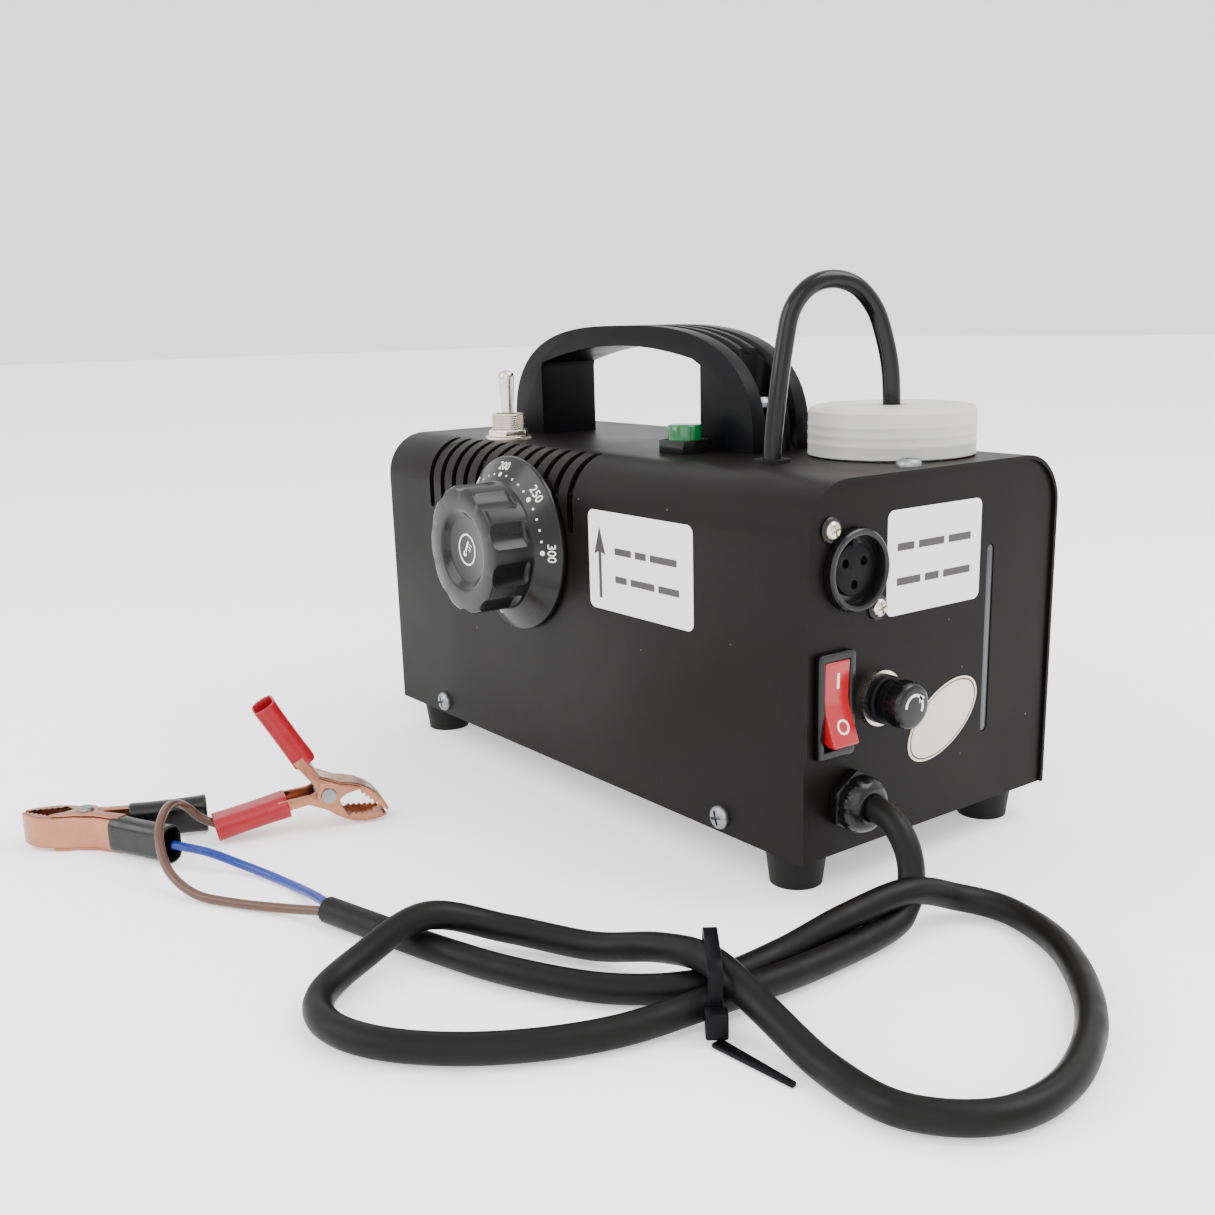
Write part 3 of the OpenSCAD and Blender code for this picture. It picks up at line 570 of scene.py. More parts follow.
def placeCords():
    cable = makeCord(cableSettings["route"], cableSettings["diameter"], "power_lead", "cableRubber")
    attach(cable, "case")
    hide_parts("power_cable")
    hose = makeCord(hoseSettings["route"], hoseSettings["diameter"], "fluid_hose", "hose")
    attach(hose, "case")
    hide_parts("feed_hose")
    wires = {}
    for colour in ("blue", "brown"):
        wire = makeCord(wireSettings[colour], wireSettings["diameter"], colour + "_lead_wire", colour + "Pvc")
        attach(wire, "case")
        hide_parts(colour + "_wire")
        wires[colour] = wire
    return cable, hose, wires


cable, hose, wires = placeCords()
print("cords placed")


# CAD nodes that keep their shape and get their finish.

nodeFinishes = {
    "powderCoat": ["top_cover", "base_pan", "front_plate", "rear_plate"],
    "zinc": ["cover_screws", "handle_screws", "thermostat_body", "dial_shaft", "heater_bracket", "pump",
             "heater_element"],
    "nickel": ["toggle_body", "xlr_screws", "fuse_ring"],
    "footRubber": ["feet", "hose_grommet"],
    "nylon": ["handle", "rocker_frame", "fuse_holder", "xlr_insert", "cable_tie", "lamp_bezel"],
    "glossAbs": ["dial_knob", "fuse_cap", "xlr_shell", "cable_gland"],
    "copper": ["thermostat_bulb", "red_lower_jaw", "red_upper_jaw", "black_front_jaw", "black_rear_jaw"],
    "aluminium": ["heater_block"],
    "brass": ["outlet_pipe", "nozzle"],
    "fuseGlass": ["fuse_tube"],
    "milky": ["tank", "cap_seal", "tank_cap"],
    "hose": ["dip_tube", "inlet_hose"],
    "board": ["relay_board"],
    "label": ["side_label", "rear_label"],
    "paper": ["check_sticker"],
    "redPvc": ["red_lower_sleeve", "red_upper_sleeve"],
    "blackPvc": ["black_front_sleeve", "black_rear_sleeve"],
    "green": ["lamp_lens"],
    "redAbs": ["rocker"],
}


def dressNodes():
    for finish, names in nodeFinishes.items():
        for name in names:
            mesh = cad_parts[name].data
            mesh.materials.clear()
            mesh.materials.append(finishes[finish])


dressNodes()
print("CAD nodes dressed")


# Handle.

handleSettings = {"length": 140, "height": 40.5, "width": 25, "middle": -19, "squareness": 2.8,
                  "ridgeDepth": 1.7, "grooves": (-5.4, 0.0, 5.4), "edge": 1.2, "top": 120}


def makeHandle(settings):
    half, height, power = settings["length"] / 2, settings["height"], 2 / settings["squareness"]
    base = Vector((0, settings["middle"], settings["top"]))
    bow = []
    for step in range(0, 61):
        angle = math.radians(step * 3)
        c, s = math.cos(angle), math.sin(angle)
        bow.append((half * math.copysign(abs(c) ** power, c), height * abs(s) ** power))
    crown = [(y, height - 6.9 - y * y / 380) for y in range(-50, 45, 6)]
    outline = bow + [(-50.5, 0), (-50.5, crown[0][1] - 2)] + crown + [(44, crown[-1][1] - 2), (44, 0)]
    points = [(base + Vector((-settings["width"] / 2, y, z))) * mm for y, z in outline]
    deselectAll()
    bpy.ops.mesh.primitive_plane_add(size=mm, location=points[0])
    handle = bpy.context.object
    editMode()
    bpy.ops.mesh.merge(type="CENTER")
    for before, after in zip(points, points[1:]):
        bpy.ops.mesh.extrude_region_move(TRANSFORM_OT_translate={"value": after - before})
    bpy.ops.mesh.select_all(action="SELECT")
    bpy.ops.mesh.edge_face_add()
    steps = [0]
    for groove in settings["grooves"]:
        steps += [groove + offset + 12.5 for offset in (-1.7, -1.0, 1.0, 1.7)]
    steps.append(25)
    for before, after in zip(steps, steps[1:]):  # across the width, one slice at a time
        bpy.ops.mesh.extrude_region_move(TRANSFORM_OT_translate={"value": ((after - before) * mm, 0, 0)})
    objectMode()
    tidyMesh()
    settle(handle)
    centre = base * mm
    for groove in settings["grooves"]:  # press a shallow groove into the outer face
        editMode()
        bpy.ops.mesh.select_all(action="DESELECT")
        objectMode()
        for vertex in handle.data.vertices:
            y, z = (vertex.co.y - centre.y) / mm, (vertex.co.z - centre.z) / mm
            onBow = (abs(y) / half) ** settings["squareness"] + (max(z, 0) / height) ** settings["squareness"] > 0.97
            vertex.select = onBow and z > 3 and abs(vertex.co.x / mm - groove) < 1.2
        editMode()
        shrink = 1 - settings["ridgeDepth"] / 45
        bpy.ops.transform.resize(value=(1, shrink, shrink), center_override=centre)
        objectMode()
    for y, length in ((49, 30), (-88, 28)):  # the deep screw pockets in both legs
        tool = panel((0, y * mm, 134 * mm), (12 * mm, length * mm), 4 * mm, (0, 0, 0), 40 * mm)
        cutAway(handle, tool)
    softenEdges(handle, settings["edge"] * mm, 3, 40)
    return finishPiece(handle, "carrying_handle", "nylon", "case", ["handle"], 40)


makeHandle(handleSettings)
print("handle made")


# Thermostat dial.

dialSettings = {
    "centre": (0.055, -0.0241, 0.0875), "scallops": 10, "scallopRadius": 9, "scallopOut": 29.4,
    "profile": [(0, 20.5), (10.9, 20.5), (11.6, 20.7), (13.2, 22.2), (13.9, 22.6), (14.6, 22.7), (20.6, 22.7),
                (21.5, 22.3), (22, 21.3), (22, 8.2), (22.3, 7.5), (23.0, 7.1), (29.5, 2.5), (30.1, 2.1),
                (30.3, 1.7), (30.3, 0.6), (5.4, 0.6), (5.4, 2.0), (0, 2.0)],
    "numbers": {"50": 225, "100": 180, "150": 135, "200": 90, "250": 45, "300": 0},
    "numberRadius": 27.2, "numberSize": 4.3, "dotRadius": 24.6, "dotStep": 9, "lastDot": 225,
    "bigDot": 0.85, "smallDot": 0.42, "slope": 35.3,
}


def coneHeight(radius):  # height of the skirt's printed slope above the case
    return 2.5 + (29.5 - radius) * 0.708


def onSkirt(angle, radius, settings):  # the place and turn of a mark whose top points outwards
    turn = math.radians(angle)
    slope = math.radians(settings["slope"])
    out = Vector((0, math.cos(turn), math.sin(turn)))
    face = Vector((1, 0, 0))
    top = out * math.cos(slope) - face * math.sin(slope)
    away = face * math.cos(slope) + out * math.sin(slope)
    place = Vector(settings["centre"]) + out * radius * mm + face * (coneHeight(radius) + 0.3) * mm
    turned4 = Matrix((top.cross(away), top, away)).transposed().to_4x4()
    return Matrix.Translation(place) @ turned4


def makeText(words, size, place):
    deselectAll()
    bpy.ops.object.text_add()
    obj = bpy.context.object
    obj.data.body = words
    obj.data.size = size * mm
    obj.data.align_x = "CENTER"
    obj.data.align_y = "CENTER"
    obj.data.offset = 0.02 * mm
    bpy.ops.object.convert(target="MESH")
    obj.matrix_world = place
    settle(obj)
    return obj


def makeDisc(radius, place, sides=20):
    deselectAll()
    bpy.ops.mesh.primitive_circle_add(vertices=sides, radius=radius * mm, fill_type="NGON")
    obj = bpy.context.object
    obj.matrix_world = place
    settle(obj)
    return obj


def layInk(obj, target, name, body, finish="whiteInk", thickness=0.07):
    applyModifier(obj, "SHRINKWRAP", target=target, wrap_method="NEAREST_SURFACEPOINT", offset=0.02 * mm,
                  wrap_mode="ABOVE_SURFACE")
    tidyMesh()
    applyModifier(obj, "SOLIDIFY", thickness=thickness * mm, offset=1)
    return finishPiece(obj, name, finish, body)


def makeDial(settings):
    centre = Vector(settings["centre"])
    dial = turned(settings["profile"], settings["centre"], (1, 0, 0), 120)
    deselectAll()
    start = centre + Vector((17 * mm, settings["scallopOut"] * mm, 0))
    bpy.ops.mesh.primitive_cylinder_add(vertices=72, radius=settings["scallopRadius"] * mm, depth=16 * mm,
                                        location=start, rotation=(0, math.pi / 2, 0))
    cutter = bpy.context.object
    softenEdges(cutter, 1.6 * mm, 4)
    settle(cutter)
    cutters = []
    for i in range(settings["scallops"]):
        twin = copyPiece(cutter)
        angle = math.radians(18 + 360 / settings["scallops"] * i)
        around = Matrix.Translation(centre) @ Matrix.Rotation(angle, 4, "X") @ Matrix.Translation(-centre)
        twin.matrix_world = around
        settle(twin)
        cutters.append(twin)
    bpy.data.objects.remove(cutter, do_unlink=True)
    cutAway(dial, joinPieces(cutters))
    softenEdges(dial, 0.5 * mm, 3, 28)
    finishPiece(dial, "thermostat_knob", "glossAbs", "dial", ["dial_knob"], 30)
    marks = []
    for words, angle in settings["numbers"].items():
        marks.append(makeText(words, settings["numberSize"], onSkirt(angle, settings["numberRadius"], settings)))
        marks.append(makeDisc(settings["bigDot"], onSkirt(angle, settings["dotRadius"], settings)))
    for i in range(settings["lastDot"] // settings["dotStep"] + 1):
        angle = i * settings["dotStep"]
        if angle % 45:
            marks.append(makeDisc(settings["smallDot"], onSkirt(angle, settings["dotRadius"], settings), 12))
    for angle in (250, 262):
        marks.append(makeDisc(0.7, onSkirt(angle, settings["dotRadius"], settings), 16))
    layInk(joinPieces(marks), dial, "dial_scale", "dial")
    return dial


def makeDialSymbol(settings):  # printed ring and thermometer sign in the knob's dish
    centre = Vector(settings["centre"]) + Vector((20.5 * mm, 0, 0))
    ring = turned([(4.9, 0.02), (4.9, 0.14), (5.5, 0.14), (5.5, 0.02), (4.9, 0.02)], centre, (1, 0, 0), 72)
    place = Matrix.Translation(centre + Vector((0.02 * mm, 0, 0))) @ Matrix(
        ((0, 0, 1), (1, 0, 0), (0, 1, 0))).to_4x4()  # a flat sign turned to face +X
    place = place @ Matrix.Rotation(math.radians(-30), 4, "Z") @ Matrix.Diagonal((0.58, 0.58, 1, 1))
    bulb = makeDisc(1.7, place @ Matrix.Translation((-1 * mm, -3.6 * mm, 0)), 32)
    deselectAll()
    bpy.ops.mesh.primitive_plane_add(size=1)
    stem = bpy.context.object
    stem.scale = (1.5 * mm, 8.6 * mm, 1)
    stem.matrix_world = place @ Matrix.Translation((-1 * mm, 0.9 * mm, 0)) @ stem.matrix_basis
    settle(stem)
    lines = [bulb, stem]
    for height in (4.4, 2.6, 0.8):
        deselectAll()
        bpy.ops.mesh.primitive_plane_add(size=1)
        tick = bpy.context.object
        tick.scale = (2.6 * mm, 0.5 * mm, 1)
        tick.matrix_world = place @ Matrix.Translation((2.2 * mm, height * mm, 0)) @ tick.matrix_basis
        settle(tick)
        lines.append(tick)
    sign = joinPieces(lines)
    tidyMesh()
    applyModifier(sign, "SOLIDIFY", thickness=0.1 * mm, offset=1)
    finishPiece(joinPieces([ring, sign]), "dial_symbol", "whiteInk", "dial")


dial = makeDial(dialSettings)
makeDialSymbol(dialSettings)
print("dial made")


# Toggle switch, lamp and bottle cap.

toggleSettings = {"x": 32, "y": -64, "pivot": 121, "lever": [(0, -2.4), (1.6, -2.2), (2.3, -1.2), (2.4, 0.2),
                  (2.0, 1.6), (2.1, 6), (2.9, 20.6), (2.95, 21.6), (2.7, 22.8), (2.0, 23.6), (1.0, 24.0), (0, 24.1)],
                  "threadFrom": 3.5, "threadTo": 9.1, "threadPitch": 0.8}
lampSettings = {"x": 22.6, "y": 29, "base": 120, "width": 12.6, "height": 4.2, "lens": 5.6}
capSettings = {"x": -15.6, "y": 83.8, "z": 120.4, "radius": 26, "height": 15, "threads": (3.2, 6.0, 8.8)}


def makeToggle(settings):
    place = (settings["x"] * mm, settings["y"] * mm, settings["pivot"] * mm)
    lever = turned(settings["lever"], place, up, 48)
    finishPiece(lever, "toggle_bat", "nickel", "toggle", ["toggle_lever"], 50)
    thread = [(4.6, settings["threadFrom"])]
    height = settings["threadFrom"]
    while height < settings["threadTo"] - 0.5:  # crests and roots of the bushing's thread
        thread += [(5.85, height), (6.15, height + 0.3), (6.15, height + 0.42), (5.85, height + 0.72)]
        height += settings["threadPitch"]
    thread += [(5.5, settings["threadTo"] + 0.1), (4.7, settings["threadTo"] + 0.2), (4.55, settings["threadTo"]),
               (4.55, settings["threadFrom"])]
    top = (settings["x"] * mm, settings["y"] * mm, 120 * mm)
    bushing = turned(thread, top, up, 64)
    finishPiece(bushing, "toggle_thread", "nickel", "case", (), 30)
    deselectAll()
    bpy.ops.mesh.primitive_cylinder_add(vertices=6, radius=8 * mm, depth=2.4 * mm,
                                        location=(top[0], top[1], (120 + 2.1) * mm), rotation=(0, 0, 0.35))
    nut = bpy.context.object
    softenEdges(nut, 0.35 * mm, 3)
    washer = turned([(5.9, 0), (8.8, 0), (8.8, 0.7), (8.6, 0.9), (5.9, 0.9), (5.9, 0)], top, up, 64)
    deselectAll()
    bpy.ops.mesh.primitive_cylinder_add(vertices=48, radius=5.9 * mm, depth=12 * mm, location=top)
    cutAway(nut, bpy.context.object)
    finishPiece(joinPieces([nut, washer]), "toggle_hex_nut", "nickel", "case", ["toggle_nut"], 30)


def makeLamp(settings):
    middleX, middleY, base = settings["x"] * mm, settings["y"] * mm, settings["base"] * mm
    bezel = panel((middleX, middleY, base), (settings["width"] * mm, settings["width"] * mm), 1.0 * mm, (0, 0, 0),
                  settings["height"] * mm, 4)
    pickFaces(bezel, lambda c, n: n.z > 0.9 and c.z > base + 3 * mm)
    bpy.ops.mesh.inset(thickness=0.5 * mm, depth=0)
    bpy.ops.mesh.inset(thickness=0.3 * mm, depth=-0.4 * mm)
    objectMode()
    softenEdges(bezel, 0.3 * mm, 3)
    tail = turned([(0, -16), (4.8, -16), (4.8, 0), (0, 0)], (middleX, middleY, base), up, 32)
    finishPiece(joinPieces([bezel, tail]), "lamp_housing", "glossAbs", "case", ["lamp_bezel"], 35)
    lens = turned([(0, -0.3), (5.6, -0.3), (5.6, 4.3), (5.45, 4.65), (5.1, 4.8), (0, 4.8)],
                  (middleX, middleY, base + settings["height"] * mm), up, 64)
    finishPiece(lens, "lamp_dome", "green", "case", ["lamp_lens"], 50)


def makeBottleCap(settings):
    r, h = settings["radius"], settings["height"]
    outer = [(4.4, h - 2.2), (4.4, h - 0.3), (4.8, h), (r - 2.4, h), (r - 1.2, h - 0.4), (r - 0.2, h - 1.5)]
    for thread in reversed(settings["threads"]):  # bands where the inner thread shows through the wall
        outer += [(r - 0.15, thread + 1.5), (r, thread + 1.1), (r, thread + 0.4), (r - 0.15, thread)]
    outer += [(r - 0.1, 0.9), (r - 0.1, 0.2), (r - 0.5, 0), (23.6, 0), (23.6, h - 2.4), (4.4, h - 2.4), (4.4, h - 2.2)]
    cap = turned(outer, (settings["x"] * mm, settings["y"] * mm, settings["z"] * mm), up, 128)
    finishPiece(cap, "screw_cap", "milky", "bottle_cap", ["tank_cap"], 30)


makeToggle(toggleSettings)
makeLamp(lampSettings)
makeBottleCap(capSettings)
print("top fittings made")


# Signal socket.

socketSettings = {"x": 35.3, "z": 94.4, "plate": 117, "screws": 9.5, "screwRise": 12,
                  "ring": [(9.6, -11.8), (9.6, 1.9), (9.9, 2.6), (10.5, 2.9), (11.2, 2.8), (11.7, 2.3), (11.8, 1.4),
                           (11.8, -21), (0, -21), (0, -12), (9.6, -11.8)],
                  "insert": [(0, -13), (7.4, -13), (7.5, -12), (7.5, -0.3), (7.2, 0.1), (0, 0.1)],
                  "pins": (30, 150, 270), "pinOut": 4.2, "pinRadius": 1.35}


def makeSocket(settings):
    centre = Vector((settings["x"], settings["plate"], settings["z"])) * mm
    along = (0, 1, 0)
    ring = turned(settings["ring"], centre, along, 96)
    flange = panel(centre - Vector((0, 1.2 * mm, 0)), (26 * mm, 31 * mm), 3 * mm, (math.pi / 2, 0, 0), 2 * mm, 6)
    finishPiece(joinPieces([ring, flange]), "socket_shell", "glossAbs", "case", ["xlr_shell"], 35)
    insert = turned(settings["insert"], centre, along, 64)
    reach = settings["pinOut"]
    for angle in settings["pins"]:
        turn = math.radians(angle)
        deselectAll()
        bpy.ops.mesh.primitive_cylinder_add(
            vertices=28, radius=settings["pinRadius"] * mm, depth=12 * mm, rotation=(math.pi / 2, 0, 0),
            location=centre + Vector((reach * math.cos(turn), 2, reach * math.sin(turn))) * mm)
        cutAway(insert, bpy.context.object)
    key = block(centre + Vector((-1.1, -9, 6.3)) * mm, centre + Vector((1.1, 0.4, 8.4)) * mm)
    softenEdges(insert, 0.25 * mm, 2)
    finishPiece(joinPieces([insert, key]), "socket_insert", "nylon", "case", ["xlr_insert"], 35)
    surrounds = []
    for side in (-1, 1):
        spot = centre + Vector((side * settings["screws"], 0, side * settings["screwRise"])) * mm
        surrounds.append(turned([(1.6, 0), (3.7, 0), (3.7, 0.5), (3.4, 0.8), (1.6, 0.8), (1.6, 0)], spot, along, 40))
    finishPiece(joinPieces(surrounds), "socket_screw_washers", "glossAbs", "case")


# A round-headed screw with a cross recess, standing on its own seat.
def makeCrossScrew(seat, along, headRadius, headHeight):
    along = Vector(along).normalized()
    seat = Vector(seat)
    dome = [(0, -2), (1.4, -2), (1.4, 0), (headRadius, 0), (headRadius, headHeight * 0.35),
            (headRadius * 0.9, headHeight * 0.7), (headRadius * 0.62, headHeight * 0.93), (0, headHeight)]
    screw = turned(dome, seat, along, 40)
    for turn in (0.3, 0.3 + math.pi / 2):
        deselectAll()
        bpy.ops.mesh.primitive_cube_add(size=1)
        tool = bpy.context.object
        tool.scale = (headRadius * 1.25 * mm, headRadius * 0.26 * mm, headHeight * 1.3 * mm)
        turned4 = along.to_track_quat("Z", "Y").to_matrix().to_4x4()
        tool.matrix_world = (Matrix.Translation(seat + along * headHeight * mm) @ turned4
                             @ Matrix.Rotation(turn, 4, "Z") @ tool.matrix_basis)
        settle(tool)
        cutAway(screw, tool)
    return screw


screwSettings = {"coverHead": 3.7, "coverHeight": 2.3, "socketHead": 2.7, "socketHeight": 1.6}


def makeScrews(settings, socket):
    screws = []
    for side in (-1, 1):
        for y in (-83, 83):
            screws.append(makeCrossScrew((side * 55 * mm, y * mm, 17 * mm), (side, 0, 0), settings["coverHead"],
                                         settings["coverHeight"]))
        screws.append(makeCrossScrew((6 * mm, side * 110 * mm, 120 * mm), (0, 0, 1), settings["coverHead"],
                                     settings["coverHeight"]))
    finishPiece(joinPieces(screws), "case_screws", "zinc", "case", ["cover_screws"], 40)
    screws = []
    for side in (-1, 1):
        seat = Vector((socket["x"] + side * socket["screws"], socket["plate"] + 0.6,
                       socket["z"] + side * socket["screwRise"])) * mm
        screws.append(makeCrossScrew(seat, (0, 1, 0), settings["socketHead"], settings["socketHeight"]))
    finishPiece(joinPieces(screws), "socket_screws", "nickel", "case", ["xlr_screws"], 40)


makeSocket(socketSettings)
makeScrews(screwSettings, socketSettings)
print("socket and screws made")


# Rocker switch.

rockerSettings = {"x": 43, "z": 57.2, "face": 117, "frame": (14.4, 30.5), "key": 9.6,
                  "outline": [(-4.5, -5), (-4.5, 5), (2.3, 11.6), (5.0, 12.1), (5.7, 11.9), (4.4, 6.0), (3.5, 1.2),
                              (3.5, -1.2), (4.4, -6.0), (5.7, -11.9), (5.0, -12.1), (2.3, -11.6)]}


def makeRocker(settings):
    x, z, face = settings["x"] * mm, settings["z"] * mm, settings["face"] * mm
    pivot = Vector((x, face - 1.5 * mm, z))
    width, height = settings["frame"]
    frameBody = panel((x, face + 2 * mm, z), (width * mm, height * mm), 1.4 * mm, (math.pi / 2, 0, 0), 2 * mm, 5)
    tool = block((x - 5 * mm, face - 20 * mm, z - 12.7 * mm), (x + 5 * mm, face + 9 * mm, z + 12.7 * mm))
    cutAway(frameBody, tool)
    softenEdges(frameBody, 0.5 * mm, 3)
    body = block((x - 6.2 * mm, face - 20 * mm, z - 13.5 * mm), (x + 6.2 * mm, face, z + 13.5 * mm))
    cutAway(body, block((x - 5 * mm, face - 9 * mm, z - 12.7 * mm), (x + 5 * mm, face + 9 * mm, z + 12.7 * mm)))
    finishPiece(joinPieces([frameBody, body]), "rocker_housing", "glossAbs", "case", ["rocker_frame"])
    tilt = Matrix.Translation(pivot) @ Matrix.Rotation(math.radians(10), 4, "X")
    points = [tilt @ (Vector((-settings["key"] / 2, y, up2)) * mm) for y, up2 in settings["outline"]]
    key = outlineSolid(points, Vector((settings["key"] * mm, 0, 0)))
    softenEdges(key, 0.55 * mm, 3, 30)
    finishPiece(key, "rocker_key", "redAbs", "rocker_switch", ["rocker"], 35)
    lean = math.radians(12)  # the faces' own slope away from the middle
    bar = block((-0.4 * mm, 0, -2.2 * mm), (0.4 * mm, 0.5 * mm, 2.2 * mm))  # the on mark
    bar.matrix_world = tilt @ Matrix.Translation((0, 4.35 * mm, 6.6 * mm)) @ Matrix.Rotation(-lean, 4, "X")
    settle(bar)
    ring = turned([(1.6, 0), (1.6, 0.5), (2.2, 0.5), (2.2, 0), (1.6, 0)], (0, 0, 0), (0, 1, 0), 40)
    ring.matrix_world = tilt @ Matrix.Translation((0, 4.25 * mm, -6.6 * mm)) @ Matrix.Rotation(lean, 4, "X")
    settle(ring)
    finishPiece(joinPieces([bar, ring]), "rocker_marks", "whiteInk", "rocker_switch")


makeRocker(rockerSettings)
print("rocker made")


# Fuse holder and cable gland.

fuseSettings = {"x": 24, "z": 55.6, "face": 117,
                "cap": [(0, 13.2), (5.0, 13.2), (5.9, 13.0), (6.5, 12.5), (6.7, 11.8), (6.7, 7.6), (6.5, 7.2),
                        (5.9, 7.0), (5.9, 4.4), (5.6, 4.2), (5.0, 4.2), (5.0, -7.8), (3.4, -7.8), (3.4, 9.8),
                        (0, 9.8)],
                "body": [(5.2, -28), (5.2, 3.6), (5.6, 4.0), (6.6, 4.0), (7.2, 3.5), (7.2, 1.2), (6.4, 1.2),
                         (6.4, -32), (0, -32), (0, -28), (5.2, -28)],
                "ribs": 24}
glandSettings = {"x": 35.6, "z": 27.4, "face": 117,
                 "dome": [(3.9, 1.4), (3.9, 9.2), (4.4, 9.5), (5.3, 9.5), (6.4, 9.0), (7.4, 7.9), (8.1, 6.4),
                          (8.3, 5.4), (8.3, 3.4), (6.0, 3.4), (6.0, -9), (3.9, -9), (3.9, 1.4)]}


def makeFuse(settings):
    centre = Vector((settings["x"], settings["face"], settings["z"])) * mm
    along = (0, 1, 0)
    finishPiece(turned(settings["body"], centre, along, 64), "fuse_socket", "nylon", "case",
                ["fuse_holder"], 35)
    cap = turned(settings["cap"], centre, along, 96)
    ribs = []
    for i in range(settings["ribs"]):  # fine grip ribs round the cap
        turn = 2 * math.pi * i / settings["ribs"]
        rib = block((-0.28 * mm, 7.9 * mm, 6.5 * mm), (0.28 * mm, 11.4 * mm, 6.88 * mm))
        rib.matrix_world = Matrix.Translation(centre) @ Matrix.Rotation(turn, 4, "Y")
        settle(rib)
        ribs.append(rib)
    finishPiece(joinPieces([cap] + ribs), "fuse_screw_cap", "glossAbs", "fuse_knob", ["fuse_cap"], 35)
    front = centre + Vector((0, 13.2 * mm, 0))
    deselectAll()
    start = front + Vector((3.0 * mm, 0.02 * mm, 0))
    bpy.ops.mesh.primitive_plane_add(size=mm, location=start)
    arc = bpy.context.object
    editMode()
    bpy.ops.mesh.merge(type="CENTER")
    bpy.ops.mesh.extrude_region_move(TRANSFORM_OT_translate={"value": (0.8 * mm, 0, 0)})
    bpy.ops.mesh.select_all(action="SELECT")
    bpy.ops.mesh.spin(steps=24, angle=math.radians(210), center=front, axis=along)
    objectMode()
    settle(arc)
    tip = Matrix.Translation(front + Vector((0, 0.02 * mm, 0))) @ Matrix.Rotation(math.radians(210), 4, "Y")
    head = makeDisc(1.5, tip @ Matrix.Translation((3.4 * mm, 0, -0.5 * mm))
                    @ Matrix.Rotation(math.radians(-90), 4, "X"), 3)
    arrow = joinPieces([arc, head])
    tidyMesh()
    applyModifier(arrow, "SOLIDIFY", thickness=0.12 * mm, offset=0)
    finishPiece(arrow, "fuse_cap_arrow", "whiteInk", "fuse_knob")


def makeGland(settings):
    centre = Vector((settings["x"], settings["face"], settings["z"])) * mm
    along = (0, 1, 0)
    dome = turned(settings["dome"], centre, along, 72)
    cuts = []
    for i in range(12):  # shallow finger flutes round the dome nut
        turn = math.radians(30 * i)
        deselectAll()
        bpy.ops.mesh.primitive_cylinder_add(vertices=20, radius=1.3 * mm, depth=9 * mm)
        tool = bpy.context.object
        tool.matrix_world = (Matrix.Translation(centre) @ Matrix.Rotation(turn, 4, "Y")
                             @ Matrix.Translation((0, 3.5 * mm, 9.1 * mm)) @ Matrix.Rotation(math.pi / 2, 4, "X"))
        settle(tool)
        cuts.append(tool)
    cutAway(dome, joinPieces(cuts))
    nuts = []
    for offset in (1.75, -2.95):  # one nut outside the plate, one inside
        deselectAll()
        bpy.ops.mesh.primitive_cylinder_add(vertices=6, radius=9.6 * mm, depth=3.4 * mm, rotation=(math.pi / 2, 0, 0),
                                            location=centre + Vector((0, offset * mm, 0)))
        nut = bpy.context.object
        settle(nut)
        softenEdges(nut, 0.6 * mm, 3)
        deselectAll()
        bpy.ops.mesh.primitive_cylinder_add(vertices=48, radius=4.2 * mm, depth=20 * mm, rotation=(math.pi / 2, 0, 0),
                                            location=centre)
        cutAway(nut, bpy.context.object)
        nuts.append(nut)
    finishPiece(joinPieces([dome] + nuts), "lead_gland", "glossAbs", "case", ["cable_gland"], 32)


makeFuse(fuseSettings)
makeGland(glandSettings)
print("fuse holder and gland made")


# Labels and level window.

labelSettings = {"arrowY": 25, "arrowLow": 75.4, "arrowHigh": 98.6, "stem": 1.5, "head": 3.0, "headLength": 9.0,
                 "sideRows": {91.5: [(33, 41.5), (43.5, 49), (51, 64)], 82.5: [(33, 39), (41, 53), (55, 65)]},
                 "rearRows": {98.5: [(18, 11), (9, -2), (-4, -14)], 88.5: [(18, 8), (6, 0), (-2, -14)]},
                 "barHeight": 2.2}


def makeLabelMarks(settings):
    face = 55.2 * mm
    y = settings["arrowY"]
    stem, head, low, high = settings["stem"], settings["head"], settings["arrowLow"], settings["arrowHigh"]
    shoulder = high - settings["headLength"]
    corners = [(y - stem / 2, low), (y + stem / 2, low), (y + stem / 2, shoulder + 0.8), (y + head, shoulder),
               (y, high), (y - head, shoulder), (y - stem / 2, shoulder + 0.8)]
    arrow = outlineSolid([Vector((face, a * mm, b * mm)) for a, b in corners], Vector((0.06 * mm, 0, 0)))
    bars = [arrow]
    tall = settings["barHeight"] / 2
    for z, spans in settings["sideRows"].items():  # plain bars where a label has its writing
        for a, b in spans:
            bars.append(block((face, a * mm, (z - tall) * mm), (face + 0.06 * mm, b * mm, (z + tall) * mm)))
    for z, spans in settings["rearRows"].items():
        for a, b in spans:
            bars.append(block((b * mm, 117.2 * mm, (z - tall) * mm), (a * mm, 117.26 * mm, (z + tall) * mm)))
    finishPiece(joinPieces(bars), "label_marks", "blackInk", "case")
    centre = Vector((-4.3, 117.21, 43.6)) * mm
    ring = turned([(0.93, 0), (0.93, 0.06), (0.96, 0.06), (0.96, 0), (0.93, 0)], (0, 0, 0), (0, 1, 0), 72)
    ring.scale = (16.8, 1, 9.3)
    ring.matrix_world = Matrix.Translation(centre) @ Matrix.Rotation(math.radians(30), 4, "Y") @ ring.matrix_basis
    settle(ring)
    finishPiece(ring, "sticker_ring", "blackInk", "case")


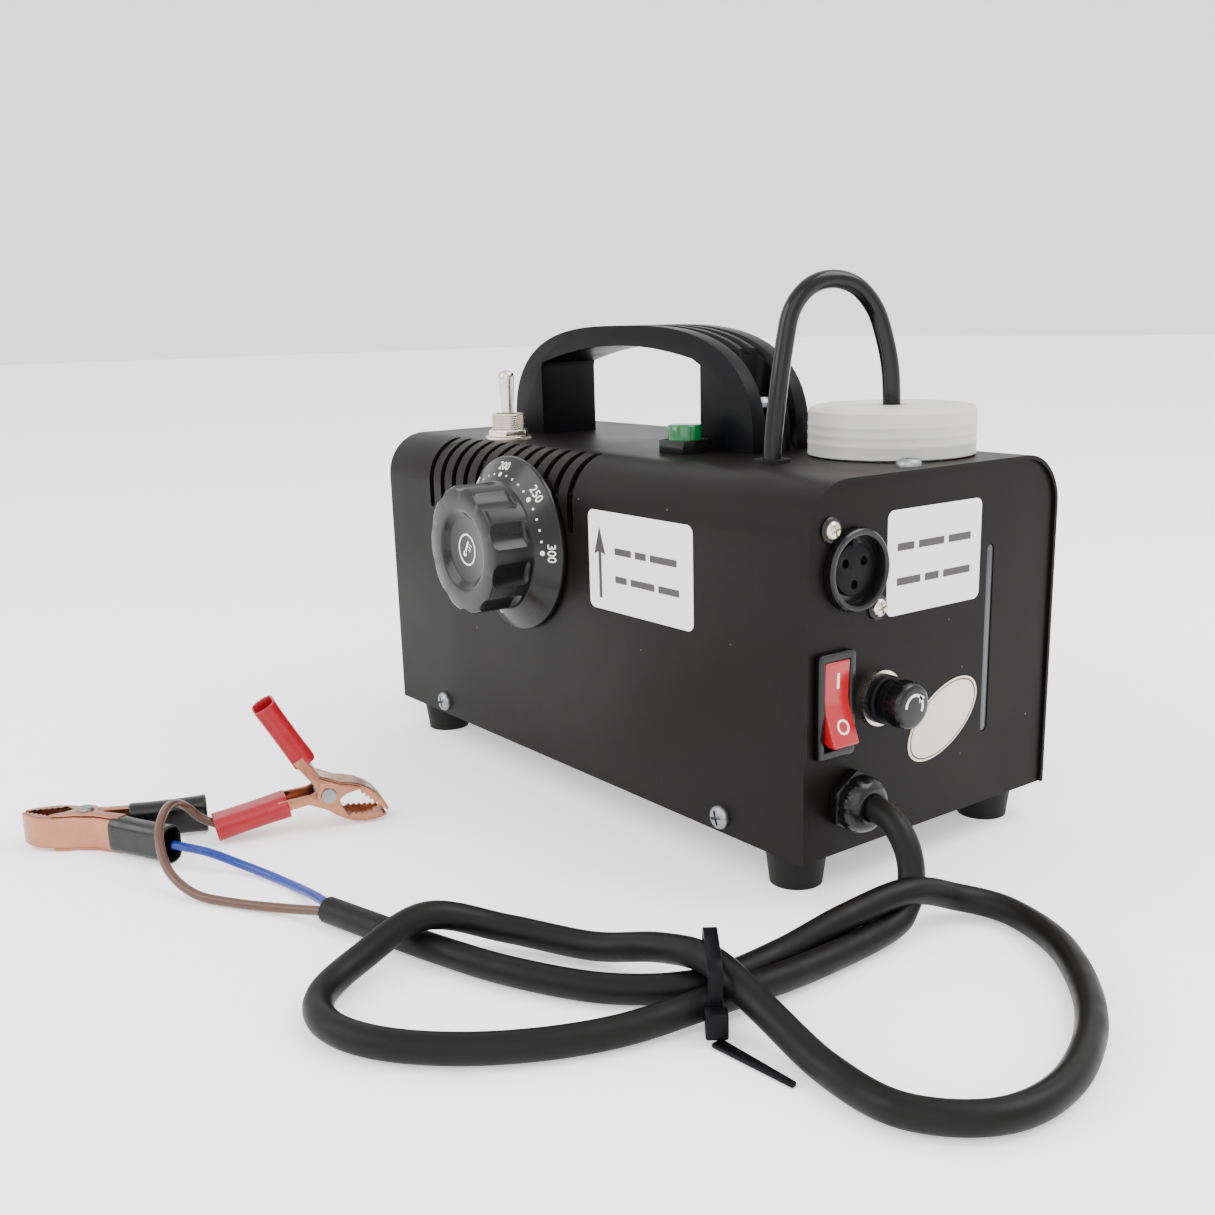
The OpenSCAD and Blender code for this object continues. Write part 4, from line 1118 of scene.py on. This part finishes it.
def makeLevelWindow():
    strip = panel((-24 * mm, 116.7 * mm, 65 * mm), (3.0 * mm, 58.8 * mm), 1.45 * mm, (math.pi / 2, 0, 0), 0.8 * mm, 6)
    softenEdges(strip, 0.2 * mm, 2)
    finishPiece(strip, "level_window", "window", "case")


makeLabelMarks(labelSettings)
makeLevelWindow()
print("labels made")


# Battery clips.
# In a clip's own frame the rivet is the Z axis, the jaws point to +X, and the first half leans to +Y.

clipSettings = {"metal": 1.0, "width": 10.4, "tailFrom": 33, "hub": (4.6, 5, 2), "teeth": 6,
                "sleeveFrom": 13, "sleeveTo": 37, "sleeveWidth": 12.2, "sleeveThick": 7.8, "sleeveWall": 0.75}
redPlace = (Matrix.Translation((0.1305, -0.031, 0.012)) @ Matrix.Rotation(math.radians(165), 4, "Z")
            @ Matrix.Rotation(math.pi / 2, 4, "X") @ Matrix.Rotation(math.radians(-25), 4, "Z"))
blackPlace = Matrix.Translation((0.1985, -0.0645, 0.0064)) @ Matrix.Rotation(math.radians(-42), 4, "Z")
flip = Matrix.Scale(-1, 4, (0, 1, 0))


def makeClipHalf(lean, cheek, settings):  # one stamped half: handle strip, hub with cheeks, and toothed jaw
    hubHigh, hubBack, hubFront = settings["hub"]
    half = settings["width"] / 2
    tail = Vector((-math.cos(lean), math.sin(lean), 0)) * settings["tailFrom"]
    arc = [(hubFront, hubHigh), (5, 5.35), (8.5, 5.75), (12, 5.5), (15, 4.75), (18, 3.2), (20, 1.65), (21, 0.65)]
    back = Vector((-hubBack, hubHigh, 0))
    path = [tail, back] + [Vector((x, y, 0)) for x, y in arc]
    points = [(p + Vector((0, 0, -half))) * mm for p in path]
    deselectAll()
    bpy.ops.mesh.primitive_plane_add(size=mm, location=points[0])
    strip = bpy.context.object
    editMode()
    bpy.ops.mesh.merge(type="CENTER")
    for before, after in zip(points, points[1:]):
        bpy.ops.mesh.extrude_region_move(TRANSFORM_OT_translate={"value": after - before})
    bpy.ops.mesh.select_all(action="SELECT")
    for width in (1.2, half - 1.2, half - 1.2, 1.2):
        bpy.ops.mesh.extrude_region_move(TRANSFORM_OT_translate={"value": (0, 0, width * mm)})
    objectMode()
    settle(strip)
    tidyMesh()
    applyModifier(strip, "SOLIDIFY", thickness=settings["metal"] * mm, offset=0)
    softenEdges(strip, 0.3 * mm, 2, 50)
    parts = [strip]
    for side in (-1, 1):  # cheeks round the rivet, and a toothed flange along each side of the jaw
        z = side * cheek + (0 if side > 0 else -0.8)
        far = back + (tail - back).normalized() * 9.5  # the wall runs on along the handle
        drop = Vector((-math.sin(lean), -math.cos(lean), 0)) * 3.6
        corners = [(far.x, far.y), (far.x + drop.x, far.y + drop.y), (-5.4, 1.6), (-3.9, -0.2), (-3.4, -1.9),
                   (-1.9, -3.4), (0, -3.9), (1.9, -3.4), (3.4, -1.9), (4.2, 0.4), (5.6, 2.4), (7.6, 3.9), (9.6, 5.4),
                   (8.5, 5.75), (5, 5.35), (hubFront, hubHigh), (-hubBack, hubHigh)]
        cheekPlate = outlineSolid([Vector((x, y, z)) * mm for x, y in corners], Vector((0, 0, 0.8 * mm)))
        deselectAll()
        bpy.ops.mesh.primitive_cylinder_add(vertices=32, radius=1.55 * mm, depth=30 * mm)
        cutAway(cheekPlate, bpy.context.object)
        softenEdges(cheekPlate, 0.15 * mm, 2)
        parts.append(cheekPlate)
        flange = [(x, y) for x, y in reversed(arc[2:])]
        step = (20 - 9.5) / (2 * settings["teeth"])
        flange += [(9.5 + step * i, 3.4 * (1 - i / (2 * settings["teeth"])) + (0.25 if i % 2 else 1.15))
                   for i in range(2 * settings["teeth"] + 1)]
        z = side * (half - 0.7) - (0 if side > 0 else 0.7)
        toothed = outlineSolid([Vector((x, y, z)) * mm for x, y in flange], Vector((0, 0, 0.7 * mm)))
        parts.append(toothed)
    return joinPieces(parts)


def makeSleeve(lean, settings):  # a dipped sleeve over the handle, its mouth a little flared
    length = settings["sleeveTo"] - settings["sleeveFrom"]
    deselectAll()
    bpy.ops.mesh.primitive_plane_add(size=1)
    sleeve = bpy.context.object
    inner = 2 * settings["sleeveWall"]
    sleeve.scale = ((settings["sleeveWidth"] - inner) * mm, (settings["sleeveThick"] - inner) * mm, 1)
    settle(sleeve)
    editMode()
    bpy.ops.mesh.select_all(action="SELECT")
    bpy.ops.mesh.bevel(offset=2.6 * mm, segments=5, affect="VERTICES")
    bpy.ops.mesh.select_all(action="SELECT")
    bpy.ops.mesh.delete(type="ONLY_FACE")
    bpy.ops.mesh.select_all(action="SELECT")
    for share, scale in ((0.06, 1.0), (0.22, 0.95), (0.3, 1.0), (0.24, 1.02), (0.12, 1.03), (0.06, 1.02)):
        bpy.ops.mesh.extrude_region_move(TRANSFORM_OT_translate={"value": (0, 0, length * share * mm)})
        bpy.ops.transform.resize(value=(scale, scale, 1), center_override=(0, 0, 0))
    objectMode()
    tidyMesh()
    applyModifier(sleeve, "SOLIDIFY", thickness=settings["sleeveWall"] * mm, offset=1)
    applyModifier(sleeve, "SUBSURF", levels=2, render_levels=2)
    turn = (Matrix.Rotation(math.pi - lean, 4, "Z") @ Matrix.Translation((settings["sleeveFrom"] * mm, 0, 0))
            @ Matrix.Rotation(math.pi / 2, 4, "Y"))
    sleeve.matrix_world = turn
    settle(sleeve)
    return sleeve


def makeClipSpring():  # close coils of spring wire round the rivet
    points = []
    for i in range(0, 61):
        turn = 2 * math.pi * i / 12
        points.append(Vector((3.2 * math.cos(turn), 3.2 * math.sin(turn), -3.2 + 6.4 * i / 60)))
    spring = makeCord(points, 1.1, "spring", "zinc")
    deselectAll()
    spring.select_set(True)
    bpy.context.view_layer.objects.active = spring
    spring.data.resolution_u = 4
    bpy.ops.object.convert(target="MESH")
    return spring


def placeHalf(obj, place, mirrored):
    obj.matrix_world = place @ flip if mirrored else place
    settle(obj)
    tidyMesh()
    return obj


def makeClip(place, lean, colour, movingBody, movingName, fixedName, settings):
    lean = math.radians(lean)
    finish, slotName = colour + "Pvc", colour + "_sleeve"
    for mirrored, cheek, body, name in ((False, 5.4, movingBody, movingName), (True, 4.5, "case", fixedName)):
        jaw = placeHalf(makeClipHalf(lean, cheek, settings), place, mirrored)
        finishPiece(jaw, name + "_stamping", "copper", body, [name + "_jaw"], 40)
        sleeve = placeHalf(makeSleeve(lean, settings), place, mirrored)
        finishPiece(sleeve, name + "_grip", finish, body, [name + "_sleeve"], 60)
    rivet = turned([(0, -7.15), (1.6, -7.15), (2.4, -6.9), (2.6, -6.25), (1.5, -6.25), (1.5, 6.25), (2.6, 6.25),
                    (2.4, 6.9), (1.6, 7.15), (0, 7.15)], (0, 0, 0), (0, 0, 1), 40)
    placeHalf(rivet, place, False)
    finishPiece(rivet, colour + "_clip_rivet", "zinc", "case", [colour + "_rivet"], 40)
    spring = placeHalf(makeClipSpring(), place, False)
    finishPiece(spring, colour + "_clip_spring", "zinc", "case", [colour + "_spring"], 50)


makeClip(redPlace, 36, "red", "red_grip", "red_upper", "red_lower", clipSettings)
makeClip(blackPlace, 22, "black", "black_grip", "black_front", "black_rear", clipSettings)
print("clips made")


# Cable tie.

tieSettings = {"centre": (112.6, 146, 9.3), "turn": -37, "width": 24.6, "height": 18, "strap": 3.6}


def makeCableTie(settings):
    middleOfTie = Vector(settings["centre"]) * mm
    deselectAll()
    bpy.ops.mesh.primitive_plane_add(size=1)
    strap = bpy.context.object
    strap.scale = ((settings["width"] - 2.2) * mm, (settings["height"] - 2.2) * mm, 1)
    settle(strap)
    editMode()
    bpy.ops.mesh.select_all(action="SELECT")
    bpy.ops.mesh.bevel(offset=4.1 * mm, segments=8, affect="VERTICES")
    bpy.ops.mesh.select_all(action="SELECT")
    bpy.ops.mesh.delete(type="ONLY_FACE")
    bpy.ops.mesh.select_all(action="SELECT")
    bpy.ops.mesh.extrude_region_move(TRANSFORM_OT_translate={"value": (0, 0, settings["strap"] * mm)})
    objectMode()
    tidyMesh()
    applyModifier(strap, "SOLIDIFY", thickness=1.1 * mm, offset=1)
    softenEdges(strap, 0.25 * mm, 2)
    strap.matrix_world = (Matrix.Translation(middleOfTie) @ Matrix.Rotation(math.radians(settings["turn"]), 4, "Z")
                          @ Matrix(((0, 0, 1), (1, 0, 0), (0, 1, 0))).to_4x4()
                          @ Matrix.Translation((0, 0, -settings["strap"] / 2 * mm)))
    settle(strap)
    lock = block((-2.7 * mm, 12.3 * mm, -7.3 * mm), (2.7 * mm, 16.9 * mm, -0.9 * mm))
    softenEdges(lock, 0.6 * mm, 3)
    lock.matrix_world = (Matrix.Translation(middleOfTie) @ Matrix.Rotation(math.radians(settings["turn"]), 4, "Z"))
    settle(lock)
    tail = block((0, 0, 0), (3.4 * mm, 24 * mm, 1.2 * mm))
    pickFaces(tail, lambda c, n: n.y > 0.9)
    bpy.ops.transform.resize(value=(0.45, 1, 1), center_override=(1.7 * mm, 24 * mm, 0))
    objectMode()
    softenEdges(tail, 0.3 * mm, 2)
    tail.matrix_world = Matrix.Translation((0.1204, 0.1582, 0.0003)) @ Matrix.Rotation(math.radians(4), 4, "Z")
    settle(tail)
    finishPiece(joinPieces([strap, lock, tail]), "lead_tie", "nylon", "case", ["cable_tie"], 35)


makeCableTie(tieSettings)
print("cable tie made")
# Stage.

deselectAll()
bpy.ops.mesh.primitive_plane_add(size=floorSettings["size"], location=(0, 0, 0))
floor = bpy.context.object
floor.name = "studio_floor"
floorPaint, floorTree, floorShader, floorPlace = startMaterial(
    "matteBackdropPaint", floorSettings["colour"], 0.75, 0, 1.5,
    {"Emission Color": (1, 1, 1, 1), "Emission Strength": floorSettings["glow"]})
varyColour(floorTree, floorShader, floorPlace, "F8F8F8", "FCFCFC", 0.3)
floor.data.materials.append(floorPaint)

addCamera(cameraSettings)
for lightName in lightSettings:
    addLight(lightName, lightSettings[lightName])
world = bpy.data.worlds.new("softStudio")
bpy.context.scene.world = world
world.use_nodes = True
world.node_tree.nodes["Background"].inputs["Color"].default_value = (1, 1, 1, 1)
world.node_tree.nodes["Background"].inputs["Strength"].default_value = floorSettings["skyStrength"]
print("stage set")
